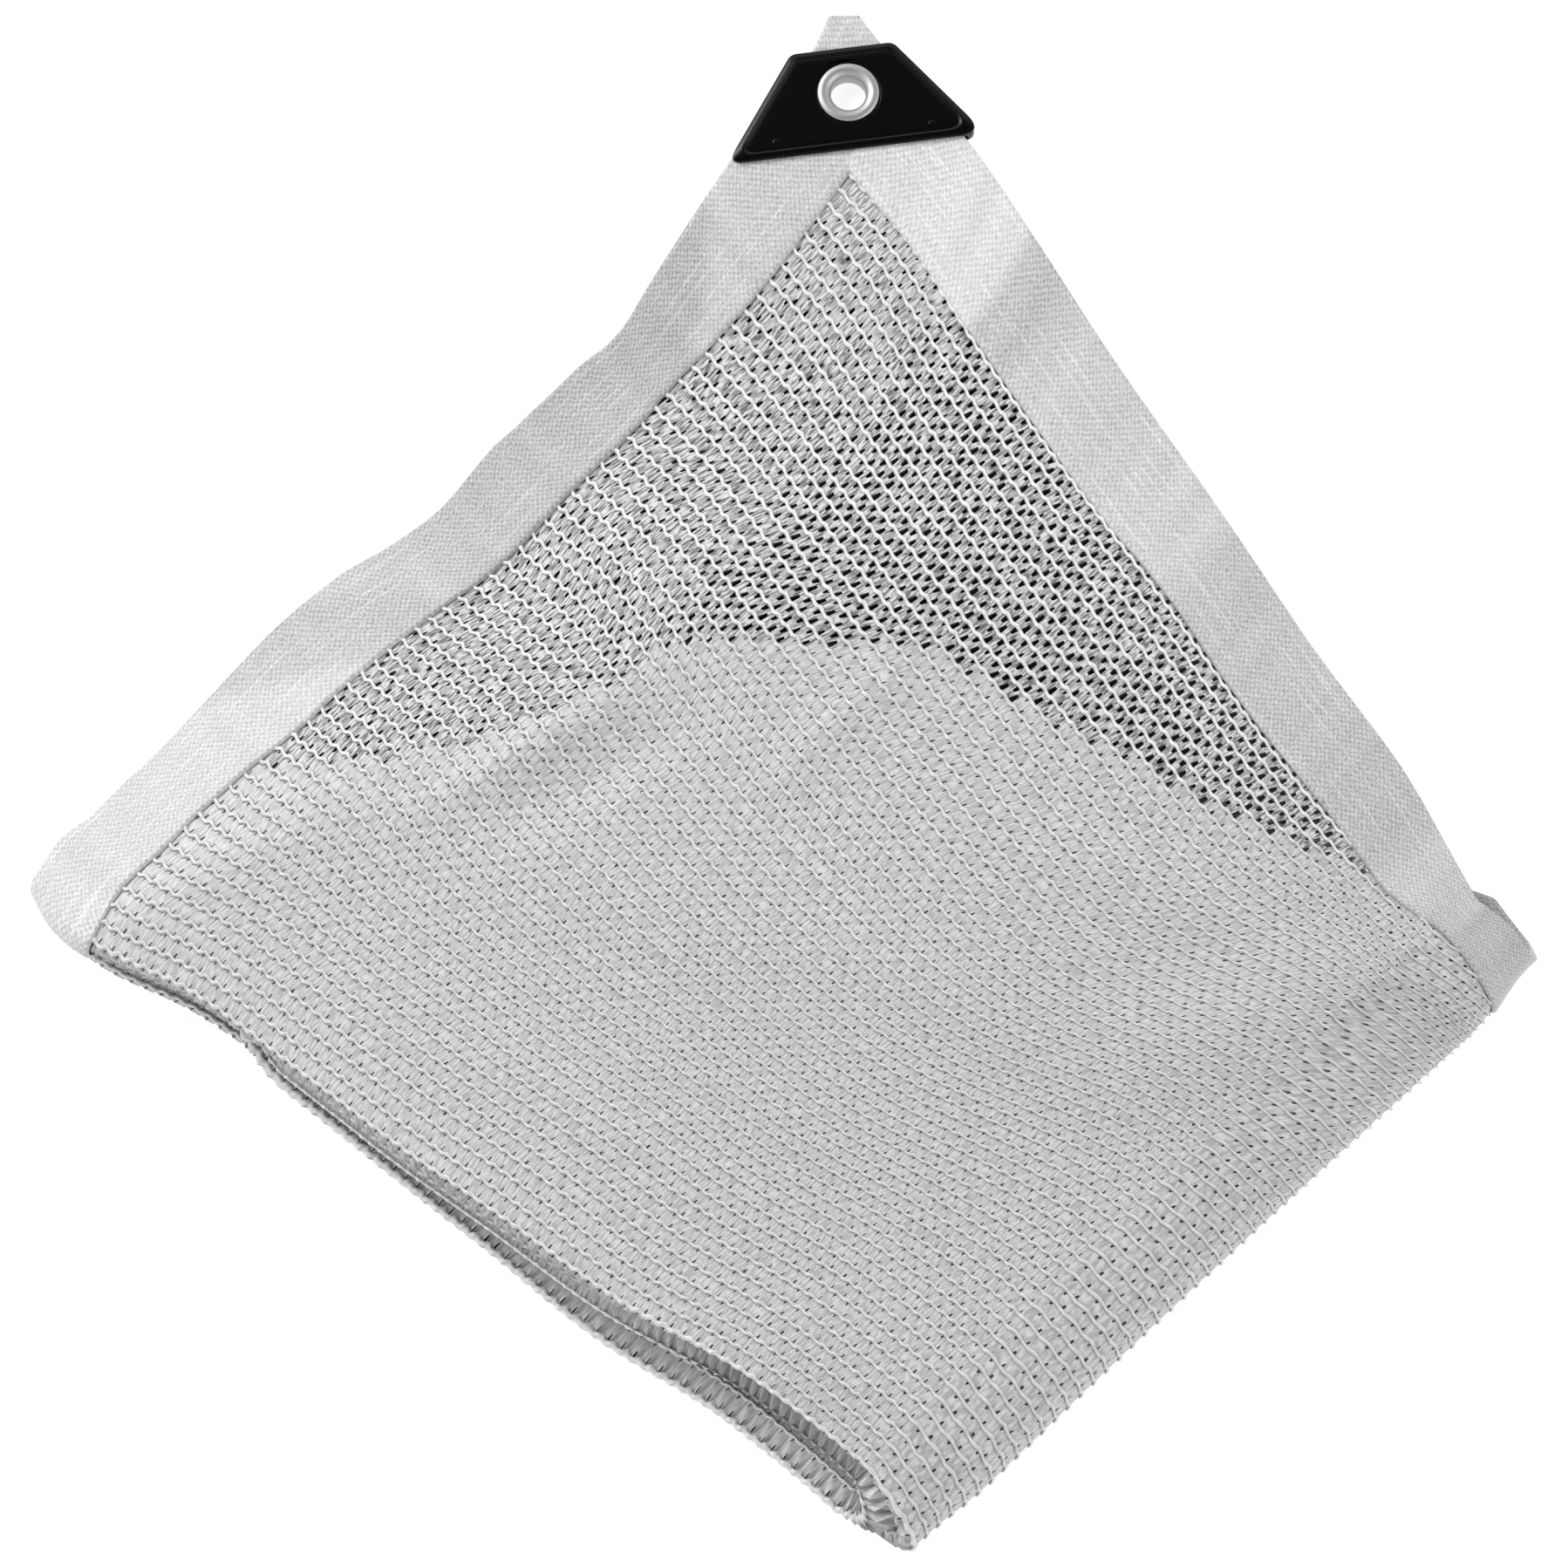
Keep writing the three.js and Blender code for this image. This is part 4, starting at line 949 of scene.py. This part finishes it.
# Tumbled after pressing, so its light is soft and broad, with no mirror lines. Its marks are drawn
# coarser than they are too.
pressed, tree, shader = new_material("pressed_aluminium", {
    "Base Color": colour("#aeaeae"), "Metallic": 1.0, "Roughness": 0.5})
on_eyelet = add(tree, "ShaderNodeTexCoord").outputs["Object"]
marks = 1.4  # to a millimetre
tumbled = add(tree, "ShaderNodeTexNoise", {"Vector": on_eyelet, "Scale": marks / MM, "Detail": 2.0})
bump = add(tree, "ShaderNodeBump", {"Height": tumbled.outputs["Fac"], "Strength": 0.15, "Distance": 0.0001})
tree.links.new(bump.outputs["Normal"], shader.inputs["Normal"])


def lathe(name, profile, node, around=96):
    """Turns a profile of radii and heights round the eyelet's middle."""
    turn = np.linspace(0, 2 * np.pi, around, endpoint=False)
    points = np.array([np.column_stack([r * np.cos(turn) + eyelet_at[0], r * np.sin(turn) + eyelet_at[1],
                                        np.full(around, z)]) for r, z in profile])
    make_piece(name, points.reshape(-1, 3), [closed_rings(points)], [pressed], sharp=50,
               replaced=[node])


lathe("eyelet_front", [(7.9, 0.2), (7.0, 1.0), (7.0, 7.7), (10.7, 7.7), (11.0, 7.9), (11.1, 8.25),
                       (10.95, 8.65), (10.5, 8.95), (9.9, 9.15), (9.2, 9.22), (8.6, 9.15), (8.0, 8.95),
                       (7.4, 8.6), (6.9, 8.15), (6.5, 7.6), (6.3, 7.0), (6.2, 6.2), (6.3, 3.0), (6.6, 1.3),
                       (7.1, 0.2)], "eyelet_ring")
lathe("eyelet_back", [(7.75, 0.8), (8.1, 0.3), (8.6, 0.2), (10.5, 0.2), (10.9, 0.35), (10.9, 0.55),
                      (10.6, 0.8)], "eyelet_washer")


# ------------------------ floor, light and camera
# The packet lies on white paper under a white dome and two soft lamps, and is seen from steeply above.
# The paper glows a little, so that shadows stay faint.


def lay_on_stage(name, points, material):
    """One flat face that isn't part of the object."""
    mesh = bpy.data.meshes.new(name)
    mesh.from_pydata(points, [], [range(len(points))])
    mesh.materials.append(material)
    new_object(name, mesh)


paper = new_material("floor_paper", {"Base Color": colour("#9c9c9c"), "Roughness": 0.9,
                                     "Emission Color": (1, 1, 1, 1), "Emission Strength": 0.82})[0]
floor_half, floor_low = 6.0, -0.0002  # m
lay_on_stage("floor", [(x * floor_half, y * floor_half, floor_low)
                       for x, y in ((-1, -1), (1, -1), (1, 1), (-1, 1))], paper)

# A glowing floor takes no shade, so a dark sheet stands for the shade under the loose layer, and is
# seen through the slots. It lies in from that layer's two bound edges.
rim = np.vstack([end_line(np.linspace(0.05, 0.84, 30)), side_line(np.linspace(0.19, 0.95, 30))])
shade_inset = 26
rim = rim - unit(rim) * shade_inset
lay_on_stage("shaded_ground", [in_scene(x, y, -0.1) for x, y in rim],
             painted_shade_material("ground_in_shade", "#2c2c2c"))

# The dome is dark overhead, where the glossy clamp would mirror it.
world = bpy.data.worlds.new("studio")
bpy.context.scene.world = world
world.use_nodes = True
sky = world.node_tree
up = add(sky, "ShaderNodeSeparateXYZ", {"Vector": add(sky, "ShaderNodeTexCoord").outputs["Generated"]})
dome = add(sky, "ShaderNodeValToRGB", {"Fac": up.outputs["Z"]})
for stop, (position, grey) in zip(dome.color_ramp.elements, ((0.70, 1), (0.86, 0.04))):
    stop.position, stop.color = position, (grey, grey, grey, 1)
sky.links.new(dome.outputs["Color"], sky.nodes["Background"].inputs["Color"])
sky.nodes["Background"].inputs["Strength"].default_value = 1.08

# each lamp: metres from the middle of the floor, width, watts
for name, at, size, power in (("key", (-1.5, 1.3, 1.7), 1.2, 52), ("fill", (1.9, -0.5, 1.6), 1.6, 17)):
    light = bpy.data.lights.new(name, "AREA")
    light.size, light.energy = size, power
    lamp = new_object(name, light)
    lamp.location = at
    lamp.rotation_euler = (-Vector(at)).to_track_quat("-Z", "Y").to_euler()

camera_data = bpy.data.cameras.new("camera")
camera = bpy.context.scene.camera = new_object("camera", camera_data)
camera_data.sensor_width, camera_data.lens = 36, 133.5
camera_data.clip_start, camera_data.clip_end = 0.1, 30
look_at = in_scene(0.75, -16.37, 12)
elevation, distance = math.radians(74), 2.0  # m
camera.location = look_at + Vector((0, -math.cos(elevation), math.sin(elevation))) * distance
camera.rotation_euler = (look_at - camera.location).to_track_quat("-Z", "Y").to_euler()
bpy.context.scene.view_settings.view_transform = "Standard"
